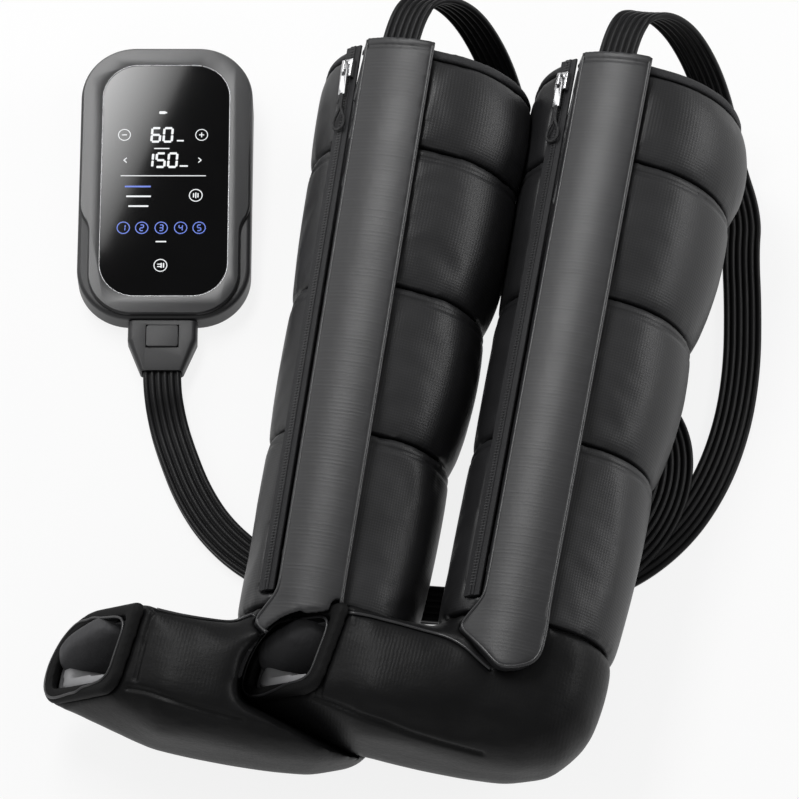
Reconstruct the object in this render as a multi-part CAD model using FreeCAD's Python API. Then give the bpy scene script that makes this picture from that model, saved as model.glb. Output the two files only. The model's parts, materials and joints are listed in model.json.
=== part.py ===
# A pair of padded air compression boots lying on the floor, with their hand controller and hoses.
# Lengths are in millimetres and angles in degrees. +Z is up, +Y runs up the legs, +X is to the right.
import FreeCAD, Part
import math
import os

V = FreeCAD.Vector

# Boot: heights of the zones along the leg, from the sole up
foot_zone_height = 112.0
ankle_zone_height = 155.0
calf_zone_height = 126.0
knee_zone_height = 120.0
thigh_zone_height = 81.0
top_binding_height = 9.0

# Boot: half depth of the leg at the four seams and at the rim
foot_seam_radius = 70.0
ankle_seam_radius = 75.0
calf_seam_radius = 81.0
knee_seam_radius = 89.0
rim_radius = 88.0
# Reach to the front, back, left and right of the leg axis, as shares of those radii
leg_reach_shares = (
    (1.00, 1.03, 0.97, 0.86),
    (0.97, 1.01, 0.93, 0.93),
    (0.95, 1.02, 0.96, 0.97),
    (0.945, 1.03, 0.98, 0.98),
    (1.00, 1.00, 0.98, 0.98),
)
leg_round_share = 0.93

# Boot: how far each inflated zone swells past its seams
ankle_swell = 8.0
calf_swell = 6.0
knee_swell = 6.0
thigh_swell = 9.0
# Swell to the front, back, left and right, as shares of the zone's swell
swell_shares = (
    (0.0, 0.25, 0.1, -1.0),
    (0.1, 1.0, 0.5, 0.8),
    (0.1, 1.0, 0.5, 0.8),
    (0.1, 1.0, 0.5, 0.8),
)

# Boot: the padded wall and its lining
wall_thickness = 13.0
liner_gap = 0.3
liner_thickness = 1.4

# Boot foot: it bends round the instep and runs out to an open toe
instep_radius = 12.0
foot_half_width = 56.0
foot_round_share = 0.62
heel_squareness = 4.0
ball_reach = 115.0
ball_top = 97.0
ball_bottom = 0.0
ball_near_top = 46.0
ball_near_low = 57.0
ball_far = 56.0
ball_near_top_round = 16.0
ball_near_low_round = 36.0
ball_far_low_round = 34.0
ball_far_top_round = 46.0
toe_reach = 172.0
toe_top = 98.0
toe_bottom = 20.0
toe_near_top = 53.0
toe_near_low = 38.0
toe_far = 56.0
toe_near_top_round = 8.0
toe_near_low_round = 20.0
toe_far_low_round = 20.0
toe_far_top_round = 54.0
toe_slant_angle = 34.8
outline_side_share = 0.96
toe_binding_depth = 8.0
binding_inset = 1.2
binding_taper = 2.5
insole_thickness = 9.0
insole_near_height = 27.0
insole_slant_angle = 18.0
bend_angles = (0.0, 12.0, 24.0, 36.0, 48.0, 60.0, 75.0, 90.0)

# Boot: the raised strip over the air tubes, its edges measured from the leg axis
cover_rise = 1.0
cover_top_radius = 98.0
cover_low_radius = 77.0
cover_front_top = 64.0
cover_front_low = 44.0
cover_back_top = 10.0
cover_back_low = -7.0
cover_flare_height = 122.0
cover_flare_reach = 58.0
cover_depth = 13.0
cover_skin = 3.5
cover_side_wall = 5.0
cover_tip_height = 64.0
cover_tip_reach = 23.0
cover_shoulder_height = 97.0
cover_shoulder_reach = 60.0
cover_heel_height = 72.0
cover_edge_margin = 0.5
cover_shoulder_round = 8.0
cover_tip_round = 14.0
cover_heel_round = 26.0
cover_channel_round = 14.0
cover_corner_round = 1.0
cover_margin = 30.0

# Boot: air tubes under the strip
tube_diameter = 5.0
tube_pitch = 5.3
tube_nipple_diameter = 3.6
tube_nipple_clearance = 0.2
tube_end_gap = 0.5
tube_count = 6
tube_inset = 14.0
foot_tube_height = 114.0

# Boot: zipper, from the rim down to the ankle
zip_top_reach = 72.0
zip_top_radius = 90.0
zip_low_reach = 54.5
zip_low_radius = 74.0
zip_low_height = 125.0
zip_slot_width = 16.0
zip_slot_depth = 34.0
zip_tape_thickness = 2.0
zip_tape_gap = 0.6
zip_bead_width = 2.6
zip_bead_rise = 1.0
zip_bead_drop = 1.2
slider_length = 16.0
slider_width = 12.0
slider_height = 4.6
slider_clearance = 0.4
slider_start = 14.0
bridge_width = 3.2
bridge_length = 11.0
bridge_height = 4.2
bridge_bar = 1.5
pull_bar_diameter = 1.8
pull_arm = 1.6
pull_length = 22.0
pull_width = 7.0
pull_thickness = 1.7
pull_droop = 3.4
cord_diameter = 2.6
cord_stem_length = 18.0
cord_loop_radius = 6.0

# How each boot lies: place of the sole's axis, then roll about the leg, pitch of the leg and turn in plan
right_boot_x = 203.0
right_boot_y = -322.0
right_boot_lift = 79.5
right_boot_roll = 10.0
right_boot_pitch = 1.5
right_boot_turn = 0.3
left_boot_x = 48.0
left_boot_y = -342.0
left_boot_lift = 60.5
left_boot_roll = 9.0
left_boot_pitch = 3.4
left_boot_turn = 2.2
press_gap = 0.4
press_azimuth = 12.4
press_elevation = 64.5
press_reach = 190.0
press_outline_points = 20

# Controller case, lying on its feet with its face tilted
case_width = 146.0
case_length = 248.0
case_corner = 46.0
case_end_height = 23.5
case_tilt = 5.0
case_wall = 2.5
case_edge_radius = 4.0
case_x = -182.0
case_y = 162.0
case_turn = 12.4
foot_pad_height = 2.0
foot_pad_diameter = 12.0
foot_pad_x = 48.0
foot_pad_y = 96.0

# Controller front: bezel with a narrower lower half, glass and display
bezel_half_width = 72.0
bezel_low_half_width = 64.0
bezel_half_length = 122.0
bezel_corner = 45.0
bezel_low_corner = 38.0
bezel_step_top = 22.0
bezel_step_low = 48.0
bezel_ledge_thickness = 1.5
bezel_thickness = 4.2
bezel_edge = 1.4
glass_width = 108.0
glass_length = 212.0
glass_corner = 30.0
glass_thickness = 2.2
glass_clearance = 0.3
ledge_width = 3.0
display_width = 96.0
display_length = 198.0
display_corner = 25.0
display_depth = 5.0
case_mouth_width = 124.0
case_mouth_length = 226.0
case_mouth_corner = 38.0

# Controller inside
screw_x = 57.0
screw_high_y = 66.0
screw_low_y = -26.0
screw_pad_height = 2.5
screw_pad_diameter = 10.0
screw_head_diameter = 6.0
screw_head_height = 2.1
screw_shank_diameter = 2.6
screw_length = 12.0
screw_clearance = 0.2
post_diameter = 7.5
pump_y = 84.0
pump_diameter = 26.0
pump_length = 44.0
pump_x = -26.0
pump_base_width = 20.0
pump_head_width = 34.0
pump_head_length = 40.0
pump_head_height = 27.0
manifold_y = 44.0
manifold_width = 92.0
manifold_length = 18.0
manifold_height = 9.0
valve_diameter = 12.0
valve_height = 12.0
valve_pitch = 15.0
valve_yoke = 1.6
battery_y = 2.0
battery_width = 68.0
battery_length = 38.0
battery_height = 18.6
battery_round = 6.0
board_width = 106.0
board_length = 52.0
board_thickness = 1.6
board_x = -9.0
board_y = -66.0
board_boss_height = 5.0
board_boss_diameter = 6.0
board_boss_inset = 6.0
board_chip_side = 14.0
board_chip_height = 2.4
inlet_width = 9.0
inlet_height = 3.4
inlet_wall = 0.5
inlet_depth = 6.0
inlet_clearance = 0.4

# Air socket in the case's lower end, and the plug of the hoses
port_height = 12.8
socket_width = 47.0
socket_height = 12.6
socket_depth = 22.0
socket_flange = 1.6
socket_flange_thickness = 3.0
nozzle_block_width = 41.0
nozzle_block_height = 9.6
nozzle_block_reach = 9.0
nozzle_block_seat = 5.0
nozzle_diameter = 3.2
nozzle_length = 8.0
nozzle_pitch = 6.4
nozzle_row_pitch = 4.8
nozzle_count = 6
plug_clearance = 0.4
gasket_thickness = 1.5
gasket_rim = 2.6
plug_width = 58.0
plug_end_width = 36.0
plug_height = 20.0
plug_end_height = 15.0
plug_length = 45.0
plug_shoulder_length = 17.0
plug_pocket_depth = 12.0
latch_width = 27.0
latch_length = 20.0
latch_thickness = 5.0
latch_proud = 0.8
latch_setback = 4.5
latch_travel_room = 2.0
latch_clearance = 0.3
spring_thickness = 0.4
spring_width = 6.0
spring_length = 16.0

# Hoses: each a flat ribbon of six tubes
hose_width = 32.0
hose_thickness = 5.3
hose_rest_gap = 0.1
hose_stack_gap = 0.2
hose_arc_share = 0.45
hose_arc_step = 11.0
hose_lead = 12.0
# Floor routes from the plug, as shares of the layout's half length
layout_half_length = 330.0
shared_route_shares = (
    (-0.397, -0.136),
    (-0.355, -0.212),
    (-0.288, -0.315),
    (-0.206, -0.400),
    (-0.097, -0.464),
    (0.042, -0.494),
    (0.200, -0.497),
    (0.358, -0.479),
)
right_route_shares = (
    (0.515, -0.442),
    (0.673, -0.376),
    (0.812, -0.285),
    (0.912, -0.158),
    (0.970, -0.006),
    (0.994, 0.158),
    (0.988, 0.327),
    (0.958, 0.503),
    (0.924, 0.652),
    (0.912, 0.760),
)
left_route_shares = (
    (0.503, -0.455),
    (0.645, -0.397),
    (0.770, -0.306),
    (0.852, -0.182),
    (0.882, -0.042),
    (0.858, 0.094),
    (0.776, 0.188),
    (0.652, 0.230),
    (0.518, 0.258),
    (0.412, 0.352),
    (0.370, 0.498),
    (0.376, 0.655),
)
# The left hose lies on the right one at first, then comes down to the floor
left_route_lifts = (1.0, 1.0, 1.0, 1.0, 1.0, 0.8, 0.2, 0.0, 0.0, 0.0, 0.0, 0.0)
right_route_lifts = (0.0, 0.0, 0.0, 0.0, 0.0, 0.0, 0.0, 0.0, 0.0, 0.0)
# Loops from the floor up over each boot's mouth, as shares of the leg's height from the strip's top
loop_shares = (
    (0.167, 0.012, -0.265),
    (0.143, 0.050, -0.190),
    (0.109, 0.080, -0.115),
    (0.068, 0.094, -0.049),
    (0.027, 0.081, -0.005),
    (0.000, 0.048, 0.007),
)

os.makedirs("parts", exist_ok=True)

zone_heights = (ankle_zone_height, calf_zone_height, knee_zone_height, thigh_zone_height)
zone_swells = (ankle_swell, calf_swell, knee_swell, thigh_swell)
level_radii = (foot_seam_radius, ankle_seam_radius, calf_seam_radius, knee_seam_radius, rim_radius)
level_heights = [foot_zone_height]
for zone_height in zone_heights:
    level_heights.append(level_heights[-1] + zone_height)
rim_height = level_heights[-1] + top_binding_height
level_reaches = [[radius * share for share in shares]
                 for radius, shares in zip(level_radii, leg_reach_shares)]
half_root = math.sqrt(0.5)
up = V(0, 0, 1)


def rounded_wire(centre, along, across, half_along, half_across, corner):
    """A rectangle with four quarter-round corners, in the plane of along and across."""
    corners = ((1, 1, along, across), (-1, 1, across, -along), (-1, -1, -along, -across), (1, -1, -across, along))
    arcs = []
    for sign_along, sign_across, first, last in corners:
        middle = centre + along * (sign_along * (half_along - corner)) + across * (sign_across * (half_across - corner))
        arcs.append((middle + first * corner, middle + (first + last) * (corner * half_root), middle + last * corner))
    edges = []
    for index, arc in enumerate(arcs):
        following = arcs[(index + 1) % len(arcs)]
        edges.append(Part.Arc(*arc).toShape())
        edges.append(Part.LineSegment(arc[2], following[0]).toShape())
    return Part.Wire(edges)


def leg_wire(height, reaches, inset):
    """The leg's section at a height: reaches are front, back, left and right of the axis."""
    front, back, left, right = [reach - inset for reach in reaches]
    half_along = (front + back) / 2
    half_across = (left + right) / 2
    centre = V((front - back) / 2, (left - right) / 2, height)
    corner = leg_round_share * min(half_along, half_across)
    return rounded_wire(centre, V(1, 0, 0), V(0, 1, 0), half_along, half_across, corner)


def zone_solid(zone, inset):
    """One inflated zone of the leg, swollen halfway between its seams."""
    low, high = level_reaches[zone], level_reaches[zone + 1]
    middle = [(a + b) / 2 + zone_swells[zone] * share for a, b, share in zip(low, high, swell_shares[zone])]
    middle_height = (level_heights[zone] + level_heights[zone + 1]) / 2
    wires = [leg_wire(level_heights[zone], low, inset), leg_wire(middle_height, middle, inset),
             leg_wire(level_heights[zone + 1], high, inset)]
    return Part.makeLoft(wires, True, False)


def bore_solid(zone, inset):
    """The straight space inside one zone of the leg."""
    wires = [leg_wire(level_heights[level], level_reaches[level], inset) for level in (zone, zone + 1)]
    return Part.makeLoft(wires, True, True)


def leg_bore(inset):
    """The straight space inside the whole leg, seam by seam, up to the rim."""
    wires = [leg_wire(height, reaches, inset) for height, reaches in zip(level_heights, level_reaches)]
    wires.append(leg_wire(rim_height, level_reaches[-1], inset))
    return Part.makeLoft(wires, True, True)


def rounded_outline(corners, radii):
    """A closed outline with its own rounding at each corner, eased where the sides are short."""
    count = len(corners)
    sides = [corners[(index + 1) % count] - corners[index] for index in range(count)]
    back = [V(sides[index - 1]).normalize() * -1 for index in range(count)]
    ahead = [V(side).normalize() for side in sides]
    halves = [first.getAngle(second) / 2 for first, second in zip(back, ahead)]
    wanted = [radius / math.tan(half) for radius, half in zip(radii, halves)]
    ease = [min(1.0, side.Length * outline_side_share / (wanted[index] + wanted[(index + 1) % count]))
            for index, side in enumerate(sides)]
    arcs = []
    for index, corner in enumerate(corners):
        run = wanted[index] * min(ease[index - 1], ease[index])
        radius = run * math.tan(halves[index])
        middle = (back[index] + ahead[index]).normalize() * (radius / math.sin(halves[index]) - radius)
        arcs.append((corner + back[index] * run, corner + middle, corner + ahead[index] * run))
    edges = []
    for index, arc in enumerate(arcs):
        edges.append(Part.Arc(*arc).toShape())
        edges.append(Part.LineSegment(arc[2], arcs[(index + 1) % count][0]).toShape())
    return Part.Wire(edges)


def foot_section(centre, across, corners, radii, inset):
    """A section of the foot with a ridge at its near top, drawn in by inset on every side."""
    count = len(corners)
    points = []
    for index, (x, y) in enumerate(corners):
        before, after = corners[index - 1], corners[(index + 1) % count]
        first = V(y - before[1], before[0] - x, 0).normalize()
        second = V(after[1] - y, x - after[0], 0).normalize()
        shift = (first + second) * (inset / (1 + first.dot(second)))
        points.append(centre + across * (x + shift.x) + up * (y + shift.y))
    return rounded_outline(points, [max(radius - inset, radius / 4) for radius in radii])


def toe_wire(inset, reach):
    """The slanted section of the open toe, moved out along its own normal by reach."""
    slant = math.radians(toe_slant_angle)
    across = V(-math.sin(slant), math.cos(slant), 0)
    normal = V(across.y, -across.x, 0)
    corners = ((toe_near_top, toe_top), (toe_near_low, toe_bottom), (-toe_far, toe_bottom), (-toe_far, toe_top))
    rounds = (toe_near_top_round, toe_near_low_round, toe_far_low_round, toe_far_top_round)
    return foot_section(V(toe_reach, 0, 0) + normal * reach, across, corners, rounds, inset)


def foot_wires(inset):
    """Sections of the foot: round the instep from the first seam, then forward to the toe."""
    front, back, left, right = level_reaches[0]
    pivot = V(front + instep_radius, 0, foot_zone_height)
    reach_back = pivot.x + back
    wires = []
    for angle in bend_angles:
        cosine = math.cos(math.radians(angle))
        sine = math.sin(math.radians(angle))
        curve = (cosine / reach_back) ** heel_squareness + (sine / pivot.z) ** heel_squareness
        outer = curve ** (-1 / heel_squareness) - inset
        inner = max(instep_radius + inset, instep_radius / 4)
        outward = V(-cosine, 0, -sine)
        turn = angle / bend_angles[-1]
        near = left * (1 - turn) + foot_half_width * turn - inset
        far = right * (1 - turn) + foot_half_width * turn - inset
        half_along = (outer - inner) / 2
        half_across = (near + far) / 2
        centre = pivot + outward * ((outer + inner) / 2) + V(0, (near - far) / 2, 0)
        share = leg_round_share * (1 - turn) + foot_round_share * turn
        corner = share * min(half_along, half_across)
        wires.append(rounded_wire(centre, -outward, V(0, 1, 0), half_along, half_across, corner))
    corners = ((ball_near_top, ball_top), (ball_near_low, ball_bottom), (-ball_far, ball_bottom), (-ball_far, ball_top))
    rounds = (ball_near_top_round, ball_near_low_round, ball_far_low_round, ball_far_top_round)
    wires.append(foot_section(V(ball_reach, 0, 0), V(0, 1, 0), corners, rounds, inset))
    wires.append(toe_wire(inset, 0))
    return wires


def foot_solid(inset):
    """The foot from the first seam to the slanted toe."""
    return Part.makeLoft(foot_wires(inset), True, True)


def box_between(origin, axes, spans):
    """A block in its own axes, with a span of distances from the origin along each."""
    low = origin
    for axis, span in zip(axes, spans):
        low = low + axis * span[0]
    sides = [axis * (span[1] - span[0]) for axis, span in zip(axes, spans)]
    points = [low, low + sides[0], low + sides[0] + sides[1], low + sides[1], low]
    return Part.Face(Part.makePolygon(points)).extrude(sides[2])


def rod(start, end, diameter):
    """A round rod between two points."""
    return Part.makeCylinder(diameter / 2, (end - start).Length, start, end - start)


def fuse_all(shapes):
    """Several shapes joined into one clean solid."""
    joined = shapes[0]
    if len(shapes) > 1:
        joined = shapes[0].multiFuse(shapes[1:])
    return joined.removeSplitter()


def boot_placement(x, y, lift, roll, pitch, turn):
    """Lays a boot on its outer side: toe to the left, leg along +Y, near side up."""
    cr, sr = math.cos(math.radians(roll)), math.sin(math.radians(roll))
    cp, sp = math.cos(math.radians(pitch)), math.sin(math.radians(pitch))
    toe = V(-cr, -sr * sp, sr * cp)
    near = V(sr, -cr * sp, cr * cp)
    leg = V(0, cp, sp)
    matrix = FreeCAD.Matrix(toe.x, near.x, leg.x, 0, toe.y, near.y, leg.y, 0, toe.z, near.z, leg.z, 0, 0, 0, 0, 1)
    laid = FreeCAD.Placement(matrix)
    turned = FreeCAD.Placement(V(x, y, lift), FreeCAD.Rotation(up, turn))
    return turned.multiply(laid)


def placed(shape, placement):
    """A copy of a shape carried by a placement."""
    moved = shape.copy()
    moved.transformShape(placement.toMatrix(), True)
    return moved


# The strip over the tubes, as a sector of the leg that tapers downward
cover_top = rim_height + cover_rise


def sector_wire(height, front, back, outer, inner):
    """A sector between two radii, its sides square to the front of the leg."""
    def point(reach, radius):
        return V(reach, math.sqrt(radius * radius - reach * reach), height)

    middle = (front + back) / 2
    return Part.Wire([
        Part.LineSegment(point(back, inner), point(back, outer)).toShape(),
        Part.Arc(point(back, outer), point(middle, outer), point(front, outer)).toShape(),
        Part.LineSegment(point(front, outer), point(front, inner)).toShape(),
        Part.Arc(point(front, inner), point(middle, inner), point(back, inner)).toShape(),
    ])


def cover_block(side_inset, skin, depth):
    """The tapering sector, its front flared at the shoulder, thinned from its sides and its skin."""
    wires = []
    for height in (cover_tip_height, cover_shoulder_height, cover_flare_height, cover_top):
        rise = (height - cover_tip_height) / (cover_top - cover_tip_height)
        front = cover_front_low + (cover_front_top - cover_front_low) * rise
        if height < cover_flare_height:
            front = cover_flare_reach
        back = cover_back_low + (cover_back_top - cover_back_low) * rise
        radius = cover_low_radius + (cover_top_radius - cover_low_radius) * rise
        wires.append(sector_wire(height, front - side_inset, back + side_inset, radius - skin, radius - depth))
    return Part.makeLoft(wires, True, True)


def cover_outline(inset, heel_round):
    """The strip's outline seen from the near side, with its pointed lower end."""
    wide = cover_top_radius + cover_margin
    back = cover_back_low - cover_edge_margin
    points = [V(wide, 0, cover_top + cover_margin), V(wide, 0, cover_shoulder_height + inset),
              V(cover_shoulder_reach, 0, cover_shoulder_height + inset), V(cover_tip_reach, 0, cover_tip_height + inset),
              V(back, 0, cover_heel_height + inset), V(back, 0, cover_top + cover_margin)]
    rounds = [cover_corner_round] * 2 + [cover_shoulder_round, cover_tip_round, heel_round, cover_corner_round]
    return Part.Face(rounded_outline(points, rounds)).extrude(V(0, wide, 0))


cover_whole = cover_block(0, 0, cover_depth).common(cover_outline(0, cover_heel_round))
cover_channel = cover_block(cover_side_wall, cover_skin, cover_depth + cover_skin)
cover_channel = cover_channel.common(cover_outline(cover_side_wall, cover_channel_round))
cover_piece = cover_whole.cut(cover_channel)

# Frame of the zipper: down its line, out of the boot, and across it toward the strip
zip_top = V(zip_top_reach, math.sqrt(zip_top_radius ** 2 - zip_top_reach ** 2), rim_height)
zip_low = V(zip_low_reach, math.sqrt(zip_low_radius ** 2 - zip_low_reach ** 2), zip_low_height)
zip_down = (zip_low - zip_top).normalize()
zip_length = (zip_low - zip_top).Length
zip_out = V(zip_top.x + zip_low.x, zip_top.y + zip_low.y, 0)
zip_out = (zip_out - zip_down * zip_out.dot(zip_down)).normalize()
zip_across = zip_out.cross(zip_down)
zip_axes = (zip_across, zip_out, zip_down)
zip_half = zip_slot_width / 2
zip_slot = box_between(zip_top, zip_axes, ((-zip_half, zip_half), (-zip_slot_depth, zip_slot_depth),
                                           (-zip_slot_depth, zip_length)))


def zip_tape(side):
    """One tape of the zipper with the bead of its teeth along the inner edge."""
    edges = sorted((side * zip_tape_gap / 2, side * zip_half))
    bead = sorted((side * zip_tape_gap / 2, side * (zip_tape_gap / 2 + zip_bead_width)))
    flat = box_between(zip_top, zip_axes, (edges, (-zip_tape_thickness, 0), (0, zip_length)))
    teeth = box_between(zip_top, zip_axes, (bead, (-zip_tape_thickness - zip_bead_drop, zip_bead_rise), (0, zip_length)))
    return fuse_all([flat, teeth])


slider_middle = slider_start + slider_length / 2
slider_top = slider_clearance + slider_height


def zip_slider():
    """The slider: a channel over the teeth with a bridge for the pull."""
    half = slider_width / 2
    body = box_between(zip_top, zip_axes, ((-half, half), (slider_clearance, slider_top),
                                           (slider_start, slider_start + slider_length)))
    groove_half = zip_tape_gap / 2 + zip_bead_width + slider_clearance
    groove = box_between(zip_top, zip_axes, ((-groove_half, groove_half), (0, zip_bead_rise + slider_clearance),
                                             (slider_start - slider_length, slider_start + slider_length * 2)))
    bridge_half = bridge_width / 2
    bridge_start = slider_middle - bridge_length / 2
    bridge_end = slider_middle + bridge_length / 2
    bridge = box_between(zip_top, zip_axes, ((-bridge_half, bridge_half), (slider_top, slider_top + bridge_height),
                                             (bridge_start, bridge_end)))
    eye = box_between(zip_top, zip_axes, ((-bridge_width, bridge_width),
                                          (slider_top, slider_top + bridge_height - bridge_bar),
                                          (bridge_start + bridge_bar, bridge_end - bridge_bar)))
    return fuse_all([body.cut(groove), bridge.cut(eye)])


# The pull turns on a bar that passes through the slider's bridge
pull_level = slider_top + (bridge_height - bridge_bar) / 2
pull_hinge_drop = slider_middle + bridge_length / 2 - bridge_bar - pull_bar_diameter
pull_hinge = zip_top + zip_out * pull_level + zip_down * pull_hinge_drop
pull_down = (zip_down * math.cos(math.radians(pull_droop)) - zip_out * math.sin(math.radians(pull_droop)))
pull_out = pull_down.cross(zip_across)
pull_axes = (zip_across, pull_out, pull_down)
pull_ring = bridge_length / 2 + pull_arm


def zip_pull():
    """The metal tab: a bar through the bridge, two arms and a plate."""
    half = pull_width / 2
    bar = rod(pull_hinge - zip_across * half, pull_hinge + zip_across * half, pull_bar_diameter)
    arms = []
    for side in (-1, 1):
        span = sorted((side * (half - pull_arm), side * half))
        arms.append(box_between(pull_hinge, pull_axes, (span, (-pull_thickness / 2, pull_thickness / 2),
                                                        (-pull_bar_diameter / 2, pull_ring))))
    plate = box_between(pull_hinge, pull_axes, ((-half, half), (-pull_thickness / 2, pull_thickness / 2),
                                                (pull_ring - pull_arm, pull_length)))
    return fuse_all([bar] + arms + [plate])


def pull_cord():
    """The cord of the pull: a short double stem and a round loop."""
    start = pull_hinge + pull_down * pull_length
    end = start + pull_down * cord_stem_length
    centre = end + pull_down * (cord_loop_radius + cord_diameter / 4)
    loop = Part.makeTorus(cord_loop_radius, cord_diameter / 2, centre, pull_out)
    return fuse_all([rod(start, end, cord_diameter), loop])


def tubes_under_cover():
    """Six air tubes side by side, each with a nipple down into its own zone."""
    ends = [(level_heights[zone] + level_heights[zone + 1]) / 2 for zone in (3, 2, 1, 0)]
    ends.append(foot_tube_height + tube_pitch * 2)
    ends.append(foot_tube_height - tube_pitch)
    tubes = []
    holes = []
    for index in range(tube_count):
        offset = (index - (tube_count - 1) / 2) * tube_pitch
        points = []
        for height in (cover_top - tube_inset, ends[index]):
            rise = (height - cover_tip_height) / (cover_top - cover_tip_height)
            radius = cover_low_radius + (cover_top_radius - cover_low_radius) * rise - cover_depth + tube_diameter / 2
            low_middle = (cover_front_low + cover_back_low) / 2
            top_middle = (cover_front_top + cover_back_top) / 2
            reach = low_middle + (top_middle - low_middle) * rise - offset
            points.append(V(reach, math.sqrt(radius * radius - reach * reach), height))
        inward = V(-points[1].x, -points[1].y, 0).normalize()
        foot = points[1] + inward * tube_diameter
        body = rod(points[0], points[1], tube_diameter)
        tubes.append(fuse_all([body, rod(points[1], foot, tube_nipple_diameter)]))
        wide = tube_nipple_diameter + tube_nipple_clearance * 2
        holes.append(rod(points[1], foot + inward * tube_nipple_clearance, wide))
    return tubes, holes


floor_size = layout_half_length * 4
floor_block = Part.makeBox(floor_size, floor_size, floor_size, V(-floor_size / 2, -floor_size / 2, -floor_size))
shapes = {}


def build_boot(side, placement, presses, hollows):
    """All the pieces of one boot, laid on the floor; presses dent its outside, hollows its inside."""
    def lay(shape):
        return placed(shape, placement)

    def dented(shape, solids):
        for solid in solids:
            if shape.BoundBox.intersect(solid.BoundBox):
                shape = shape.cut(solid)
        return shape

    strip = Part.makeCompound([lay(cover_whole)] + [lay(hole) for hole in nipple_holes])
    slot = lay(zip_slot)
    zones = ("ankle", "calf", "knee", "thigh")
    for zone, name in enumerate(zones):
        outer = dented(lay(zone_solid(zone, 0)), presses).cut(strip)
        bore = dented(lay(bore_solid(zone, wall_thickness)), hollows(wall_thickness))
        shapes[side + name + "_chamber"] = outer.cut(bore).cut(slot).cut(floor_block)
    foot_bore = dented(lay(foot_solid(wall_thickness)), hollows(wall_thickness))
    foot_outer = dented(lay(foot_solid(0)), presses).cut(strip)
    shapes[side + "foot_chamber"] = foot_outer.cut(foot_bore).cut(floor_block)

    rim = level_reaches[-1]
    rim_wires = [leg_wire(level_heights[-1], rim, binding_inset),
                 leg_wire((level_heights[-1] + rim_height) / 2, rim, binding_inset),
                 leg_wire(rim_height, rim, binding_inset + binding_taper)]
    binding = Part.makeLoft(rim_wires, True, True)
    rim_bore = Part.makeLoft([leg_wire(height, rim, wall_thickness) for height in (level_heights[-1], rim_height)],
                             True, True)
    shapes[side + "top_binding"] = dented(lay(binding), presses).cut(strip).cut(lay(rim_bore)).cut(slot).cut(floor_block)

    toe_wires = [toe_wire(binding_inset, 0), toe_wire(binding_inset, toe_binding_depth / 2),
                 toe_wire(binding_inset + binding_taper, toe_binding_depth)]
    toe_bore = Part.makeLoft([toe_wire(wall_thickness, reach) for reach in (0, toe_binding_depth)], True, True)
    toe_hem = Part.makeLoft(toe_wires, True, True)
    shapes[side + "toe_binding"] = dented(lay(toe_hem), presses).cut(lay(toe_bore)).cut(floor_block)

    liner_out = wall_thickness + liner_gap
    liner_in = liner_out + liner_thickness
    outer = dented(lay(leg_bore(liner_out)), hollows(liner_out))
    inner = dented(lay(leg_bore(liner_in)), hollows(liner_in))
    shapes[side + "leg_liner"] = outer.cut(inner).cut(slot)
    outer = dented(lay(foot_solid(liner_out)), hollows(liner_out))
    inner = dented(lay(foot_solid(liner_in)), hollows(liner_in))
    shapes[side + "foot_liner"] = outer.cut(inner)

    insole_out = liner_in + liner_gap
    outer = dented(lay(foot_solid(insole_out)), hollows(insole_out))
    inner = dented(lay(foot_solid(insole_out + insole_thickness)), hollows(insole_out + insole_thickness))
    slant = FreeCAD.Rotation(V(1, 0, 0), -insole_slant_angle)
    below = Part.makeBox(floor_size, floor_size, floor_size, V(-floor_size / 2, -floor_size / 2, -floor_size))
    below = placed(below, FreeCAD.Placement(V(0, foot_half_width, insole_near_height), slant))
    ahead = Part.makeBox(floor_size, floor_size, floor_size, V(instep_radius, -floor_size / 2, -floor_size / 2))
    shapes[side + "insole"] = outer.cut(inner).common(lay(below)).common(lay(ahead))

    shapes[side + "hose_cover"] = dented(lay(cover_piece), presses)
    shapes[side + "chamber_tubes"] = Part.makeCompound([dented(lay(tube), presses) for tube in air_tubes])
    shapes[side + "zipper_tape_front"] = lay(zip_tape(-1))
    shapes[side + "zipper_tape_side"] = lay(zip_tape(1).cut(cover_whole))
    shapes[side + "zipper_slider"] = lay(zip_slider())
    shapes[side + "zipper_pull"] = lay(zip_pull())
    shapes[side + "pull_cord"] = lay(pull_cord())


air_tubes, nipple_holes = tubes_under_cover()

right_place = boot_placement(right_boot_x, right_boot_y, right_boot_lift, right_boot_roll, right_boot_pitch,
                             right_boot_turn)
left_place = boot_placement(left_boot_x, left_boot_y, left_boot_lift, left_boot_roll, left_boot_pitch, left_boot_turn)


def outer_outline(points):
    """The points of a flat set that lie on its convex outline, in order."""
    chains = []
    for ordered in (sorted(points), sorted(points, reverse=True)):
        chain = []
        for x, y in ordered:
            while len(chain) > 1 and ((chain[-1][0] - chain[-2][0]) * (y - chain[-2][1])
                                      <= (chain[-1][1] - chain[-2][1]) * (x - chain[-2][0])):
                chain.pop()
            chain.append((x, y))
        chains += chain[:-1]
    return chains


def press_way(grow):
    """The way above the right foot, kept clear where it is pressed down into the left boot."""
    azimuth, elevation = math.radians(press_azimuth), math.radians(press_elevation)
    level = math.cos(elevation)
    way = V(level * math.sin(azimuth), -level * math.cos(azimuth), math.sin(elevation))
    way = right_place.Rotation.inverted().multVec(way)
    along = V(1, 0, 0)
    across = V(0, ball_near_top + ball_far, ball_top - ball_bottom).normalize()
    normal = along.cross(across)
    base = V(0, -ball_far, ball_bottom)
    points = []
    for wire in foot_wires(-grow)[-3:] + [toe_wire(-grow, toe_binding_depth + grow)]:
        for point in wire.discretize(press_outline_points):
            reach = point - base
            flat = reach - way * (reach.dot(normal) / way.dot(normal))
            points.append((flat.x, flat.dot(across)))
    outline = [base + along * x + across * y for x, y in outer_outline(points)]
    prism = Part.Face(Part.makePolygon(outline + outline[:1])).extrude(way * press_reach)
    return placed(prism, right_place)


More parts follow.
